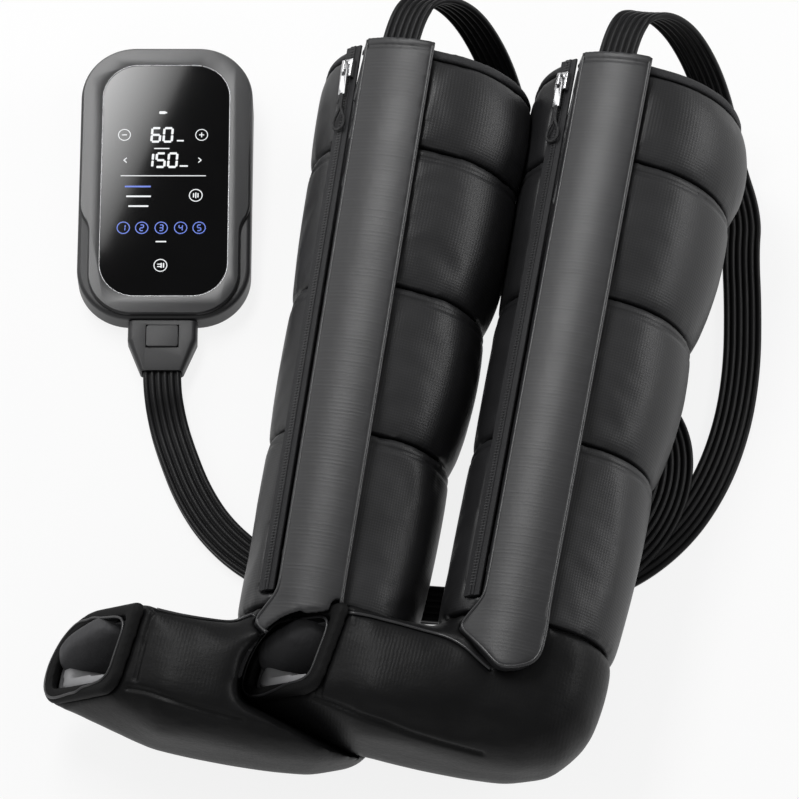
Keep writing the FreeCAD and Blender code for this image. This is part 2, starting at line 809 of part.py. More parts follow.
def right_foot_swollen(grow):
    """The right boot's foot and hem, grown all round, which press into the left boot."""
    hem = Part.makeLoft([toe_wire(-grow, reach) for reach in (0, toe_binding_depth + grow)], True, True)
    return [placed(foot_solid(-grow), right_place), placed(hem, right_place), press_way(grow)]


def no_hollows(grow):
    """A boot that nothing rests on keeps its inside."""
    return []


right_presses = right_foot_swollen(press_gap)
for zone in range(len(zone_heights)):
    right_presses.append(placed(zone_solid(zone, -press_gap), right_place))

build_boot("right_", right_place, [], no_hollows)
build_boot("left_", left_place, right_presses, right_foot_swollen)


# The controller is built flat, then turned and set down in its place
case_place = FreeCAD.Placement(V(case_x, case_y, 0), FreeCAD.Rotation(up, case_turn))
across_x = V(1, 0, 0)
across_y = V(0, 1, 0)
tilt_tangent = math.tan(math.radians(case_tilt))
case_floor = foot_pad_height + case_wall
face_place = FreeCAD.Placement(V(0, 0, case_end_height + case_length / 2 * tilt_tangent),
                               FreeCAD.Rotation(across_x, case_tilt))


def rounded_plate(width, length, corner, low, high):
    """A flat plate with round corners between two heights."""
    wire = rounded_wire(V(0, 0, low), across_x, across_y, width / 2, length / 2, corner)
    return Part.Face(wire).extrude(V(0, 0, high - low))


def above_face(offset):
    """Everything above the tilted face, moved along its normal by an offset."""
    block = Part.makeBox(case_length * 2, case_length * 2, case_length, V(-case_length, -case_length, offset))
    return placed(block, face_place)


def on_face(shape):
    """A shape drawn flat, laid on the tilted face."""
    return placed(shape, face_place)


def block_at(x, y, width, length, low, high):
    """A block centred at x and y, between two heights."""
    return Part.makeBox(width, length, high - low, V(x - width / 2, y - length / 2, low))


def post_at(x, y, diameter, low, high):
    """An upright round post between two heights."""
    return Part.makeCylinder(diameter / 2, high - low, V(x, y, low))


def mirror_points(x, y):
    """The four places at plus and minus x and y."""
    return [(sx * x, sy * y) for sx in (-1, 1) for sy in (-1, 1)]


# Case shell with its mouth, screw pads and board bosses
tall = case_end_height + case_length
case_outer = rounded_plate(case_width, case_length, case_corner, foot_pad_height, tall).cut(above_face(0))
rim_edges = []
for edge in case_outer.Edges:
    box = edge.BoundBox
    flat_low = box.ZMax - foot_pad_height < case_wall / 10
    points = [edge.valueAt(edge.FirstParameter), edge.valueAt(edge.LastParameter)]
    lifts = [point.z - case_end_height - (point.y + case_length / 2) * tilt_tangent for point in points]
    on_top = max(abs(lift) for lift in lifts) < case_wall / 10
    if flat_low or on_top:
        rim_edges.append(edge)
case_outer = case_outer.makeFillet(case_edge_radius, rim_edges)
case_inner = rounded_plate(case_width - case_wall * 2, case_length - case_wall * 2, case_corner - case_wall,
                           case_floor, tall).cut(above_face(-case_wall))
mouth = on_face(rounded_plate(case_mouth_width, case_mouth_length, case_mouth_corner, -case_length / 2, case_length))
mouth = mouth.common(rounded_plate(case_width - case_wall * 2, case_length - case_wall * 2, case_corner - case_wall,
                                   case_floor, tall * 2))
case_shell = case_outer.cut(case_inner).cut(mouth)
screw_places = [(side * screw_x, y) for side in (-1, 1) for y in (screw_low_y, screw_high_y)]
pad_top = case_floor + screw_pad_height
pads = [post_at(x, y, screw_pad_diameter, foot_pad_height + case_wall / 2, pad_top) for x, y in screw_places]
board_top = case_floor + board_boss_height + board_thickness
board_half_x = board_width / 2 - board_boss_inset
board_half_y = board_length / 2 - board_boss_inset
boss_places = [(board_x + x, board_y + y) for x, y in mirror_points(board_half_x, board_half_y)]
bosses = [post_at(x, y, board_boss_diameter, foot_pad_height + case_wall / 2, board_top - board_thickness)
          for x, y in boss_places]
case_shell = fuse_all([case_shell] + pads + bosses)
head_seat = foot_pad_height + screw_head_height + screw_clearance
for x, y in screw_places:
    case_shell = case_shell.cut(post_at(x, y, screw_head_diameter + screw_clearance * 2, 0, head_seat))
    case_shell = case_shell.cut(post_at(x, y, screw_shank_diameter + screw_clearance * 2, 0, tall))

# Air socket: its face is flush with the case's lower end, and it holds the plug's nozzles
end_y = -case_length / 2
nozzle_places = []
for row in (-1, 1):
    for column in range(nozzle_count):
        x = (column - (nozzle_count - 1) / 2) * nozzle_pitch
        nozzle_places.append((x, port_height + row * nozzle_row_pitch / 2))


def end_block(width, height, start, stop):
    """A block square to the case's lower end, centred on the port, from start to stop inward."""
    return Part.makeBox(width, stop - start, height, V(-width / 2, end_y + start, port_height - height / 2))


def end_rod(place, diameter, start, stop):
    """A round rod square to the case's lower end."""
    return Part.makeCylinder(diameter / 2, stop - start, V(place[0], end_y + start, place[1]), across_y)


case_shell = case_shell.cut(end_block(socket_width, socket_height, -case_wall, case_wall * 2))
socket_body = end_block(socket_width - plug_clearance, socket_height - plug_clearance, 0, socket_depth)
flange = end_block(socket_width + socket_flange * 2, socket_height + socket_flange * 2, case_wall,
                   case_wall + socket_flange_thickness)
recess_depth = nozzle_block_reach + plug_clearance
recess = end_block(nozzle_block_width + plug_clearance * 2, nozzle_block_height + plug_clearance * 2, -case_wall,
                   recess_depth)
air_socket = fuse_all([socket_body, flange]).cut(recess)
for place in nozzle_places:
    air_socket = air_socket.cut(end_rod(place, nozzle_diameter + plug_clearance * 2, 0, socket_depth * 2))

# Charge inlet on the board's left edge, through the case's side wall
inlet_y = board_y
inlet_low = board_top
inlet_outer_x = -case_width / 2 + case_wall / 4
inlet_inner_x = board_x - board_width / 2 + inlet_depth
inlet_length = inlet_inner_x - inlet_outer_x
inlet_mid = (inlet_outer_x + inlet_inner_x) / 2
charge_inlet = block_at(inlet_mid, inlet_y, inlet_length, inlet_width, inlet_low, inlet_low + inlet_height)
inlet_hollow = block_at(inlet_outer_x, inlet_y, inlet_depth * 2, inlet_width - inlet_wall * 2,
                        inlet_low + inlet_wall, inlet_low + inlet_height - inlet_wall)
charge_inlet = charge_inlet.cut(inlet_hollow)
inlet_hole = block_at(-case_width / 2, inlet_y, case_wall * 4, inlet_width + inlet_clearance * 2,
                      inlet_low - inlet_clearance, inlet_low + inlet_height + inlet_clearance)
case_shell = case_shell.cut(inlet_hole)

# Bezel: wide above, stepped in below, with a ledge for the glass and posts for the screws
step_width = bezel_half_width - bezel_low_half_width
step_length = bezel_step_low - bezel_step_top
step_radius = (step_width ** 2 + step_length ** 2) / (4 * step_width)
step_turn = math.atan2(step_width, step_length)


def bezel_wire(height, inset):
    """The bezel's outline: two top corners, two S-shaped steps and two lower corners."""
    half = bezel_half_width - inset
    low_half = bezel_low_half_width - inset
    top = bezel_half_length - inset
    corner = bezel_corner - inset
    low_corner = bezel_low_corner - inset
    first = V(half, -bezel_step_top, height)
    last = V(low_half, -bezel_step_low, height)
    middle = (first + last) * 0.5
    bulge = V(half - step_radius * (1 - math.cos(step_turn)), -bezel_step_top - step_radius * math.sin(step_turn), height)
    hollow = middle * 2 - bulge
    right_side = [
        (V(half - corner, top, height), V(half - corner + corner * half_root, top - corner + corner * half_root, height),
         V(half, top - corner, height)),
        (first, bulge, middle),
        (middle, hollow, last),
        (V(low_half, -top + low_corner, height),
         V(low_half - low_corner + low_corner * half_root, -top + low_corner - low_corner * half_root, height),
         V(low_half - low_corner, -top, height)),
    ]
    left_side = [tuple(V(-p.x, p.y, p.z) for p in reversed(arc)) for arc in reversed(right_side)]
    arcs = right_side + left_side
    edges = []
    for index, arc in enumerate(arcs):
        following = arcs[(index + 1) % len(arcs)]
        edges.append(Part.Arc(*arc).toShape())
        if (following[0] - arc[2]).Length > inset_floor:
            edges.append(Part.LineSegment(arc[2], following[0]).toShape())
    return Part.Wire(edges)


inset_floor = case_wall / 100
bezel_low = Part.Face(bezel_wire(0, 0)).extrude(V(0, 0, bezel_thickness - bezel_edge))
bezel_high = Part.makeLoft([bezel_wire(bezel_thickness - bezel_edge, 0), bezel_wire(bezel_thickness, bezel_edge)],
                           True, True)
bezel = fuse_all([bezel_low, bezel_high])
glass_open = glass_width + glass_clearance * 2
bezel = bezel.cut(rounded_plate(glass_open, glass_length + glass_clearance * 2, glass_corner + glass_clearance,
                                bezel_ledge_thickness, bezel_thickness * 2))
bezel = bezel.cut(rounded_plate(glass_width - ledge_width * 2, glass_length - ledge_width * 2,
                                glass_corner - ledge_width, -bezel_thickness, bezel_thickness))
bezel = on_face(bezel)
posts = [post_at(x, y, post_diameter, pad_top, tall).cut(above_face(bezel_ledge_thickness / 2)) for x, y in screw_places]
bezel = fuse_all([bezel] + posts)
screws = []
for x, y in screw_places:
    bezel = bezel.cut(post_at(x, y, screw_shank_diameter + screw_clearance * 2, pad_top, pad_top + screw_length))
    head = post_at(x, y, screw_head_diameter, head_seat - screw_head_height, head_seat)
    shank = post_at(x, y, screw_shank_diameter, head_seat, head_seat + screw_length)
    screws.append(fuse_all([head, shank]))
glass = on_face(rounded_plate(glass_width, glass_length, glass_corner, bezel_ledge_thickness,
                              bezel_ledge_thickness + glass_thickness))
display = on_face(rounded_plate(display_width, display_length, display_corner, bezel_ledge_thickness - display_depth,
                                bezel_ledge_thickness))
feet = [post_at(x, y, foot_pad_diameter, 0, foot_pad_height) for x, y in mirror_points(foot_pad_x, foot_pad_y)]

# Pump, valves, battery and board on the case's floor
pump_axis = case_floor + pump_diameter / 2
pump_start = pump_x - pump_length / 2
pump_motor = Part.makeCylinder(pump_diameter / 2, pump_length, V(pump_start, pump_y, pump_axis), across_x)
pump_motor = fuse_all([pump_motor, block_at(pump_x, pump_y, pump_length, pump_base_width, case_floor, pump_axis)])
pump_end = pump_start + pump_length
pump_head = block_at(pump_end + pump_head_width / 2, pump_y, pump_head_width, pump_head_length, case_floor,
                     case_floor + pump_head_height)
manifold_top = case_floor + manifold_height
manifold = block_at(0, manifold_y, manifold_width, manifold_length, case_floor, manifold_top)
valve_places = [(index - (tube_count - 1) / 2) * valve_pitch for index in range(tube_count)]
valves = [post_at(x, manifold_y, valve_diameter, manifold_top, manifold_top + valve_height) for x in valve_places]
yoke = block_at(0, manifold_y, manifold_width, valve_diameter, manifold_top + valve_height - valve_yoke / 2,
                manifold_top + valve_height + valve_yoke / 2)
battery = block_at(0, battery_y, battery_width, battery_length, case_floor, case_floor + battery_height)
long_edges = [edge for edge in battery.Edges if edge.BoundBox.XLength > battery_width / 2 and
              edge.BoundBox.ZMin > case_floor + battery_height / 2]
battery = battery.makeFillet(battery_round, long_edges)
board = block_at(board_x, board_y, board_width, board_length, board_top - board_thickness, board_top)
chip_pitch = board_chip_side * 2
chips = [block_at(board_x + (index - 0.5) * chip_pitch, board_y, board_chip_side, board_chip_side, board_top,
                  board_top + board_chip_height) for index in range(3)]
board = fuse_all([board] + chips)

# Plug: measured outward from the case's lower end
gasket_width = nozzle_block_width + gasket_rim * 2
gasket_height = nozzle_block_height + gasket_rim * 2
plug_start = gasket_thickness
plug_end = plug_start + plug_length
gasket = end_block(gasket_width, gasket_height, -gasket_thickness, 0)
gasket = gasket.cut(end_block(nozzle_block_width + plug_clearance, nozzle_block_height + plug_clearance,
                              -gasket_thickness * 2, gasket_thickness))
nozzles = [end_block(nozzle_block_width, nozzle_block_height, -plug_start - nozzle_block_seat, nozzle_block_reach)]
nozzles += [end_rod(place, nozzle_diameter, nozzle_block_reach, nozzle_block_reach + nozzle_length)
            for place in nozzle_places]
nozzle_block = fuse_all(nozzles)


def plug_wire(reach, width, height):
    """A round-cornered section of the plug, square to its axis."""
    centre = V(0, end_y - reach, port_height)
    return rounded_wire(centre, across_x, up, width / 2, height / 2, height / 4)


plug_shoulder = plug_start + plug_shoulder_length
plug = Part.makeLoft([plug_wire(plug_start, plug_width, plug_height), plug_wire(plug_shoulder, plug_width, plug_height),
                      plug_wire(plug_end, plug_end_width, plug_end_height)], True, True)
plug = plug.cut(end_block(nozzle_block_width + plug_clearance, nozzle_block_height + plug_clearance,
                          -plug_start - nozzle_block_seat, 0))
hose_mouth_width = hose_width + plug_clearance * 2
hose_mouth_height = hose_thickness * 2 + hose_stack_gap + plug_clearance * 2
plug = plug.cut(end_block(hose_mouth_width, hose_mouth_height, -plug_end * 2, -plug_end + plug_pocket_depth))
plug_top = port_height + plug_height / 2
latch_y = end_y - plug_start - latch_setback - latch_length / 2
latch_top = plug_top + latch_proud
latch_low = latch_top - latch_thickness
pocket_low = latch_low - latch_travel_room
plug = plug.cut(block_at(0, latch_y, latch_width + latch_clearance * 2, latch_length + latch_clearance * 2, pocket_low,
                         plug_top * 2))
latch = block_at(0, latch_y, latch_width, latch_length, latch_low, latch_top)
latch_edges = [edge for edge in latch.Edges if edge.BoundBox.ZLength > latch_thickness / 2]
latch = latch.makeFillet(latch_thickness / 2, latch_edges)
spring_rise = latch_travel_room - spring_thickness
spring_half = spring_length / 2
spring_points = [(-spring_half, 0), (-spring_half / 2, 0), (-spring_half / 4, spring_rise), (spring_half / 4, spring_rise),
                 (spring_half / 2, 0), (spring_half, 0)]
spring_line = [V(x, latch_y - spring_width / 2, pocket_low + z) for x, z in spring_points]
spring_line += [V(x, latch_y - spring_width / 2, pocket_low + z + spring_thickness) for x, z in reversed(spring_points)]
spring = Part.Face(Part.makePolygon(spring_line + spring_line[:1])).extrude(V(0, spring_width, 0))

case_pieces = {
    "rear_cover": case_shell, "front_bezel": bezel, "touch_glass": glass, "display_module": display,
    "main_board": board, "pump_motor": pump_motor, "pump_head": pump_head, "valve_manifold": manifold,
    "solenoid_valves": fuse_all(valves + [yoke]), "battery_pack": battery, "air_socket": air_socket,
    "charge_inlet": charge_inlet, "case_screws": Part.makeCompound(screws), "rubber_feet": Part.makeCompound(feet),
    "plug_body": plug, "nozzle_block": nozzle_block, "plug_gasket": gasket, "plug_latch": latch,
    "latch_spring": spring,
}
for name, piece in case_pieces.items():
    shapes[name] = placed(piece, case_place)


# Hoses: both leave the plug one above the other, part under the right boot and loop into their strips
hose_floor = hose_rest_gap + hose_thickness / 2
hose_step = hose_thickness + hose_stack_gap


def hose_path(points, weights):
    """Straight runs joined by tangent arcs: places, directions and weights along the hose."""
    runs = [after - before for before, after in zip(points, points[1:])]
    stations = [(points[0], runs[0].normalize(), weights[0])]
    radii = []
    lengths = [(after - before).Length for before, after in zip(points, points[1:])]
    for index in range(1, len(points) - 1):
        before = (points[index] - points[index - 1]).normalize()
        after = (points[index + 1] - points[index]).normalize()
        turn = before.getAngle(after)
        reach = hose_arc_share * min(lengths[index - 1], lengths[index])
        radius = reach / math.tan(turn / 2)
        radii.append(round(radius, 1))
        start = points[index] - before * reach
        inward = (after - before * before.dot(after)).normalize()
        steps = max(1, math.ceil(math.degrees(turn) / hose_arc_step))
        for step in range(steps + 1):
            angle = turn * step / steps
            place = start + before * (radius * math.sin(angle)) + inward * (radius * (1 - math.cos(angle)))
            heading = before * math.cos(angle) + inward * math.sin(angle)
            stations.append((place, heading, weights[index]))
    stations.append((points[-1], (points[-1] - points[-2]).normalize(), weights[-1]))
    return stations, radii


def build_hose(name, lift, own_shares, own_lifts, placement):
    """One ribbon from the plug's pocket to the top of its boot's strip."""
    def from_case(reach):
        return case_place.multVec(V(0, end_y - reach, port_height + lift))

    points = [from_case(plug_end - plug_pocket_depth), from_case(plug_end + hose_lead)]
    weights = [0, 0]
    drop = (lift + hose_step / 2)
    for x, y in shared_route_shares:
        points.append(V(x * layout_half_length, y * layout_half_length, hose_floor + drop))
        weights.append(0)
    for (x, y), stay in zip(own_shares, own_lifts):
        points.append(V(x * layout_half_length, y * layout_half_length, hose_floor + drop * stay))
        weights.append(0)
    reach = (cover_front_top + cover_back_top) / 2
    radius = cover_top_radius - cover_depth + liner_gap + hose_thickness / 2
    across = math.sqrt(radius * radius - reach * reach)
    strip_top = placement.multVec(V(reach, across, cover_top))
    for x, y, z in loop_shares:
        points.append(strip_top + V(x, y, z) * rim_height)
        weights.append(1)
    points.append(placement.multVec(V(reach, across, cover_top - tube_inset + tube_end_gap)))
    weights.append(1)
    strip_width = placement.Rotation.multVec(V(across, -reach, 0)).normalize()
    stations, radii = hose_path(points, weights)
    wires = []
    length = 0
    for index, (place, heading, weight) in enumerate(stations):
        width = up.cross(heading).normalize() * (1 - weight) + strip_width * weight
        width = (width - heading * width.dot(heading)).normalize()
        rise = heading.cross(width)
        side = width * (hose_width / 2)
        half = rise * (hose_thickness / 2)
        corners = [place - side - half, place + side - half, place + side + half, place - side + half]
        wires.append(Part.makePolygon(corners + corners[:1]))
        if index:
            length += (place - stations[index - 1][0]).Length
    shapes[name] = Part.makeLoft(wires, True, True)
    share = shapes[name].Volume / (length * hose_width * hose_thickness)
    print(name, "length", round(length, 1), "bend radii", radii, "volume share", round(share, 3))


build_hose("right_hose", -hose_step / 2, right_route_shares, right_route_lifts, right_place)
build_hose("left_hose", hose_step / 2, left_route_shares, left_route_lifts, left_place)

# The frame's origin is the middle of the footprint on the floor, hoses left out
footprint = FreeCAD.BoundBox()
for name, shape in shapes.items():
    if not name.endswith("hose"):
        footprint.add(shape.optimalBoundingBox(True))
shift = V(-footprint.Center.x, -footprint.Center.y, 0)
for name, shape in shapes.items():
    shape.translate(shift)
    shape.exportStep("parts/" + name + ".step")


def told(vector):
    """A vector rounded for printing."""
    return [round(value, 4) for value in vector]


print("shift", told(shift), "footprint", told((footprint.XLength, footprint.YLength, footprint.ZLength)))
for side, placement in (("left", left_place), ("right", right_place)):
    print(side, "slide", told(placement.Rotation.multVec(zip_down)),
          "hinge", told(placement.multVec(pull_hinge) + shift), told(placement.Rotation.multVec(zip_across * -1)),
          "travel", round(zip_length - slider_start - slider_length, 1))
    for height in (level_heights[0], level_heights[2], rim_height):
        print(side, "axis at", height, told(placement.multVec(V(0, 0, height)) + shift))
    print(side, "toe", told(placement.multVec(V(toe_reach, 0, (toe_top + toe_bottom) / 2)) + shift))
print("plug axis", told(case_place.Rotation.multVec(across_y)), "case", told(case_place.Base + shift))
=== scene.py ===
"""Looks of a pair of air compression boots with a hand controller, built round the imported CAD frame."""
import json
import math

import bpy
from bpy.props import FloatProperty, FloatVectorProperty, IntProperty, PointerProperty
from mathutils import Matrix, Vector
from mathutils.bvhtree import BVHTree
from mathutils.kdtree import KDTree


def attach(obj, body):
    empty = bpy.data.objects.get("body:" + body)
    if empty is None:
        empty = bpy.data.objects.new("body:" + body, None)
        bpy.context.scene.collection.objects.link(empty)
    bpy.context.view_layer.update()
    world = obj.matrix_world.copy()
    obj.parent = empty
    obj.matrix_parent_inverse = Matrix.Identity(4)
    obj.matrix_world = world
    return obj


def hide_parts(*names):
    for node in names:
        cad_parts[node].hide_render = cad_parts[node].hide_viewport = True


bl_info = {
    "name": "Leg massager looks",
    "version": (1, 0, 0),
    "blender": (4, 5, 0),
    "location": "View3D > Sidebar > Leg massager",
    "description": "Dresses the leg massager's frame with padded fabric, zippers, hoses and a lit screen",
    "category": "Object",
}

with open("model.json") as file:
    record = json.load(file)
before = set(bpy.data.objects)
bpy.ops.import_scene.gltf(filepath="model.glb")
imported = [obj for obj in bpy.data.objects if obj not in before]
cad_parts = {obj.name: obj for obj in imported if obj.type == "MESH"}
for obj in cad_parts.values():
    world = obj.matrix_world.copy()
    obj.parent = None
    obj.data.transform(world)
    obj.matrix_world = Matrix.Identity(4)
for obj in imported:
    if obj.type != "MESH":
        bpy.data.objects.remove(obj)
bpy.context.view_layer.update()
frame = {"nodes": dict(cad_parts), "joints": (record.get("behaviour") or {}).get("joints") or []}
NODES = frame["nodes"]
MM = 0.001
ROOT = "boots_and_hoses"
UP = Vector((0, 0, 1))

# Where the CAD lays the boots and the controller
SHIFT = Vector((-14.3111, 29.1872, 0.0))
RIM_HEIGHT = 603.0
STRIP_TOP = 604.0
STRIP_TIP = 64.0
STRIP_RADII = (77.0, 98.0)
STRIP_FRONT = (44.0, 64.0)
STRIP_BACK = (-7.0, 10.0)
STRIP_DEPTH = 13.0

# The photo's camera
PHOTO = 799
SENSOR = 36.0
LENS = 200.1
AIM = (Vector((58.0, -7.0, 60.0)) + SHIFT) * MM


def laid_frame(x, y, lift, roll, pitch, turn):
    """Matrix from a boot's own toe, near and up distances in millimetres to the row frame in metres."""
    cr, sr = math.cos(math.radians(roll)), math.sin(math.radians(roll))
    cp, sp = math.cos(math.radians(pitch)), math.sin(math.radians(pitch))
    laid = Matrix(((-cr, sr, 0), (-sr * sp, -cr * sp, cp), (sr * cp, cr * cp, sp))).to_4x4()
    place = Matrix.Translation(Vector((x, y, lift)) + SHIFT) @ Matrix.Rotation(math.radians(turn), 4, "Z")
    return Matrix.Scale(MM, 4) @ place @ laid


BOOTS = {
    "left": laid_frame(48.0, -342.0, 60.5, 9.0, 3.4, 2.2),
    "right": laid_frame(203.0, -322.0, 79.5, 10.0, 1.5, 0.3),
}
CASE = (Matrix.Scale(MM, 4) @ Matrix.Translation(Vector((-182.0, 162.0, 0.0)) + SHIFT)
        @ Matrix.Rotation(math.radians(12.4), 4, "Z"))
CASE_HALF_LENGTH = 124.0
CASE_LEVEL = 23.5
CASE_SLOPE = math.radians(5)
FACE = (CASE @ Matrix.Translation((0, 0, CASE_LEVEL + CASE_HALF_LENGTH * math.tan(CASE_SLOPE)))
        @ Matrix.Rotation(CASE_SLOPE, 4, "X"))
ZONES = ("ankle", "calf", "knee", "thigh")

# Nodes of the left boot that the right boot's toe presses on
GIVING_NODES = ("left_foot_chamber", "left_ankle_chamber", "left_hose_cover", "left_leg_liner", "left_foot_liner",
                "left_chamber_tubes")


def colour_setting(name, about, value):
    """A colour setting."""
    return FloatVectorProperty(name=name, description=about, subtype="COLOR", default=value, min=0, max=1)


def length_setting(name, about, value, least, most):
    """A length setting."""
    return FloatProperty(name=name, description=about, default=value, min=least, max=most, unit="LENGTH")


def level_setting(name, about, value, most):
    """A strength setting."""
    return FloatProperty(name=name, description=about, default=value, min=0, max=most)


def angle_setting(name, about, degrees):
    """An angle setting."""
    return FloatProperty(name=name, description=about, default=math.radians(degrees), subtype="ANGLE")


class BootLooks(bpy.types.PropertyGroup):
    """Fabric, padding and trim of the boots."""
    fabric: colour_setting("Fabric", "Colour of the padded sides", (0.013, 0.013, 0.014))
    panel: colour_setting("Panel", "Colour of the raised panel", (0.022, 0.022, 0.0235))
    leather: colour_setting("Foot", "Colour of the soft foot", (0.0055, 0.0055, 0.0058))
    lining: colour_setting("Lining", "Colour of the lining", (0.055, 0.055, 0.058))
    insole: colour_setting("Insole", "Colour of the insole", (0.32, 0.32, 0.328))
    voxel: length_setting("Pad mesh", "Mesh size of the padded pieces", 0.0035, 0.002, 0.01)
    pressure: level_setting("Fill", "Air pressure that swells the pads", 3.0, 20)
    swell: length_setting("Swell", "Distance that limits how far a pad's skin moves", 0.005, 0, 0.02)


class HoseLooks(bpy.types.PropertyGroup):
    """The ribbon hoses."""
    tubes: IntProperty(name="Tubes", description="Tubes side by side in a ribbon", default=6, min=2, max=12)
    width: length_setting("Width", "Width of a ribbon", 0.032, 0.01, 0.06)
    height: length_setting("Height", "Height of a ribbon", 0.0053, 0.002, 0.02)
    colour: colour_setting("Colour", "Colour of the hoses", (0.006, 0.006, 0.0065))


class ControllerLooks(bpy.types.PropertyGroup):
    """The controller's case and lit screen."""
    bezel: colour_setting("Bezel", "Colour of the bezel", (0.022, 0.022, 0.0235))
    case: colour_setting("Case", "Colour of the case", (0.02, 0.02, 0.0215))
    white: colour_setting("White signs", "Colour of the white signs", (0.9, 0.92, 0.95))
    blue: colour_setting("Blue signs", "Colour of the blue signs", (0.07, 0.16, 0.75))
    glow: level_setting("Glow", "Strength of the lit signs", 0.9, 5)


class StageLooks(bpy.types.PropertyGroup):
    """Floor, light and camera."""
    floor: colour_setting("Floor", "Colour of the floor", (0.93, 0.93, 0.93))
    key: level_setting("Key light", "Power of the long soft light over the panels", 36.0, 500)
    side: level_setting("Side light", "Power of the strip light at the right", 18.0, 500)
    fill: level_setting("Fill light", "Power of the soft lights at the left and front", 11.0, 500)
    sky: level_setting("Sky", "Strength of the even light", 0.28, 3)
    gleam: level_setting("Gleam", "Strength of the card that the glass mirrors", 58.0, 200)
    azimuth: angle_setting("Azimuth", "Turn of the camera", 12.4)
    elevation: angle_setting("Elevation", "Height of the camera", 64.5)
    distance: length_setting("Distance", "Camera distance", 3.64, 1, 10)


class Socket:
    """A node's output, so that shader maths reads as Python."""

    def __init__(self, finish, output):
        self.finish = finish
        self.output = output

    def __add__(self, other):
        return self.finish.math("ADD", self, other)

    def __radd__(self, other):
        return self.finish.math("ADD", other, self)

    def __sub__(self, other):
        return self.finish.math("SUBTRACT", self, other)

    def __rsub__(self, other):
        return self.finish.math("SUBTRACT", other, self)

    def __mul__(self, other):
        return self.finish.math("MULTIPLY", self, other)

    def __rmul__(self, other):
        return self.finish.math("MULTIPLY", other, self)

    def sine(self):
        """The sine of the value."""
        return self.finish.math("SINE", self, 0.0)

    def clamp(self):
        """The value kept between zero and one."""
        return self.finish.node("ShaderNodeClamp", {}, {0: self})


class Finish:
    """A node material under one shader."""

    def __init__(self, name):
        self.material = bpy.data.materials.new(name)
        self.material.use_nodes = True
        self.tree = self.material.node_tree
        self.shader = next(node for node in self.tree.nodes if node.type == "BSDF_PRINCIPLED")

    def node(self, kind, settings=None, sockets=None, output=0):
        """Adds a node, sets it up, feeds its sockets and gives one output."""
        made = self.tree.nodes.new(kind)
        for key, value in (settings or {}).items():
            if key == "stops":
                ramp = made.color_ramp
                while len(ramp.elements) < len(value):
                    ramp.elements.new(1.0)
                for element, (place, shade) in zip(ramp.elements, value):
                    element.position = place
                    element.color = (shade, shade, shade, 1.0)
            else:
                setattr(made, key, value)
        for key, value in (sockets or {}).items():
            self.feed(made.inputs[key], value)
        return Socket(self, made.outputs[output])

    def feed(self, socket, value):
        """Links a socket or sets its value."""
        if isinstance(value, Socket):
            self.tree.links.new(value.output, socket)
        elif hasattr(value, "__len__") and len(value) == 3 and socket.type == "RGBA":
            socket.default_value = (*value, 1.0)
        else:
            socket.default_value = value

    def math(self, operation, first, second):
        """A Math node on two values."""
        return self.node("ShaderNodeMath", {"operation": operation}, {0: first, 1: second})

    def place(self):
        """The object's own coordinates, in metres."""
        return self.node("ShaderNodeTexCoord", output="Object")

    def turned(self, angles, scale=(1, 1, 1)):
        """Object coordinates, turned and stretched."""
        return self.node("ShaderNodeMapping", {}, {0: self.place(), 2: angles, 3: scale})

    def noise(self, scale, detail=3.0, roughness=0.5, place=None):
        """Soft noise, with a scale in lumps per metre."""
        return self.node("ShaderNodeTexNoise", {}, {"Vector": place or self.place(), "Scale": scale, "Detail": detail,
                                                    "Roughness": roughness})

    def cells(self, scale, feature="F1", place=None):
        """Distance to the nearest of scattered points."""
        return self.node("ShaderNodeTexVoronoi", {"feature": feature},
                         {"Vector": place or self.place(), "Scale": scale})

    def ribs(self, scale, distortion=0.0, direction="Y", place=None):
        """Fine parallel ribs across a direction."""
        return self.node("ShaderNodeTexWave", {"wave_type": "BANDS", "bands_direction": direction},
                         {"Vector": place or self.place(), "Scale": scale, "Distortion": distortion, "Detail": 2.0,
                          "Detail Scale": 2.0}, output="Fac")

    def ramp(self, value, stops):
        """Maps a value through grey stops."""
        return self.node("ShaderNodeValToRGB", {"stops": stops}, {0: value})

    def shade(self, factor, first, second):
        """A colour between two colours."""
        return self.node("ShaderNodeMix", {"data_type": "RGBA"}, {0: factor, 6: first, 7: second}, output=2)

    def bump(self, height, strength, distance, under=None):
        """A normal from a height."""
        sockets = {"Height": height, "Strength": strength, "Distance": distance}
        if under is not None:
            sockets["Normal"] = under
        return self.node("ShaderNodeBump", {}, sockets)

    def surface(self, **inputs):
        """Feeds the shader by its socket names, with spaces for underscores."""
        for key, value in inputs.items():
            self.feed(self.shader.inputs[key.replace("_", " ")], value)
        return self.material


def scaled(colour, factor):
    """A colour made lighter or darker."""
    return tuple(min(1.0, channel * factor) for channel in colour)


FINISHES = {}
DOT_PITCH = 2.3 * MM
DOT_PHASE = math.pi / DOT_PITCH


def finish_of(name):
    """A finish, made the first time it is asked for."""
    if name not in FINISHES:
        FINISHES[name] = MAKERS[name](name)
    return FINISHES[name]


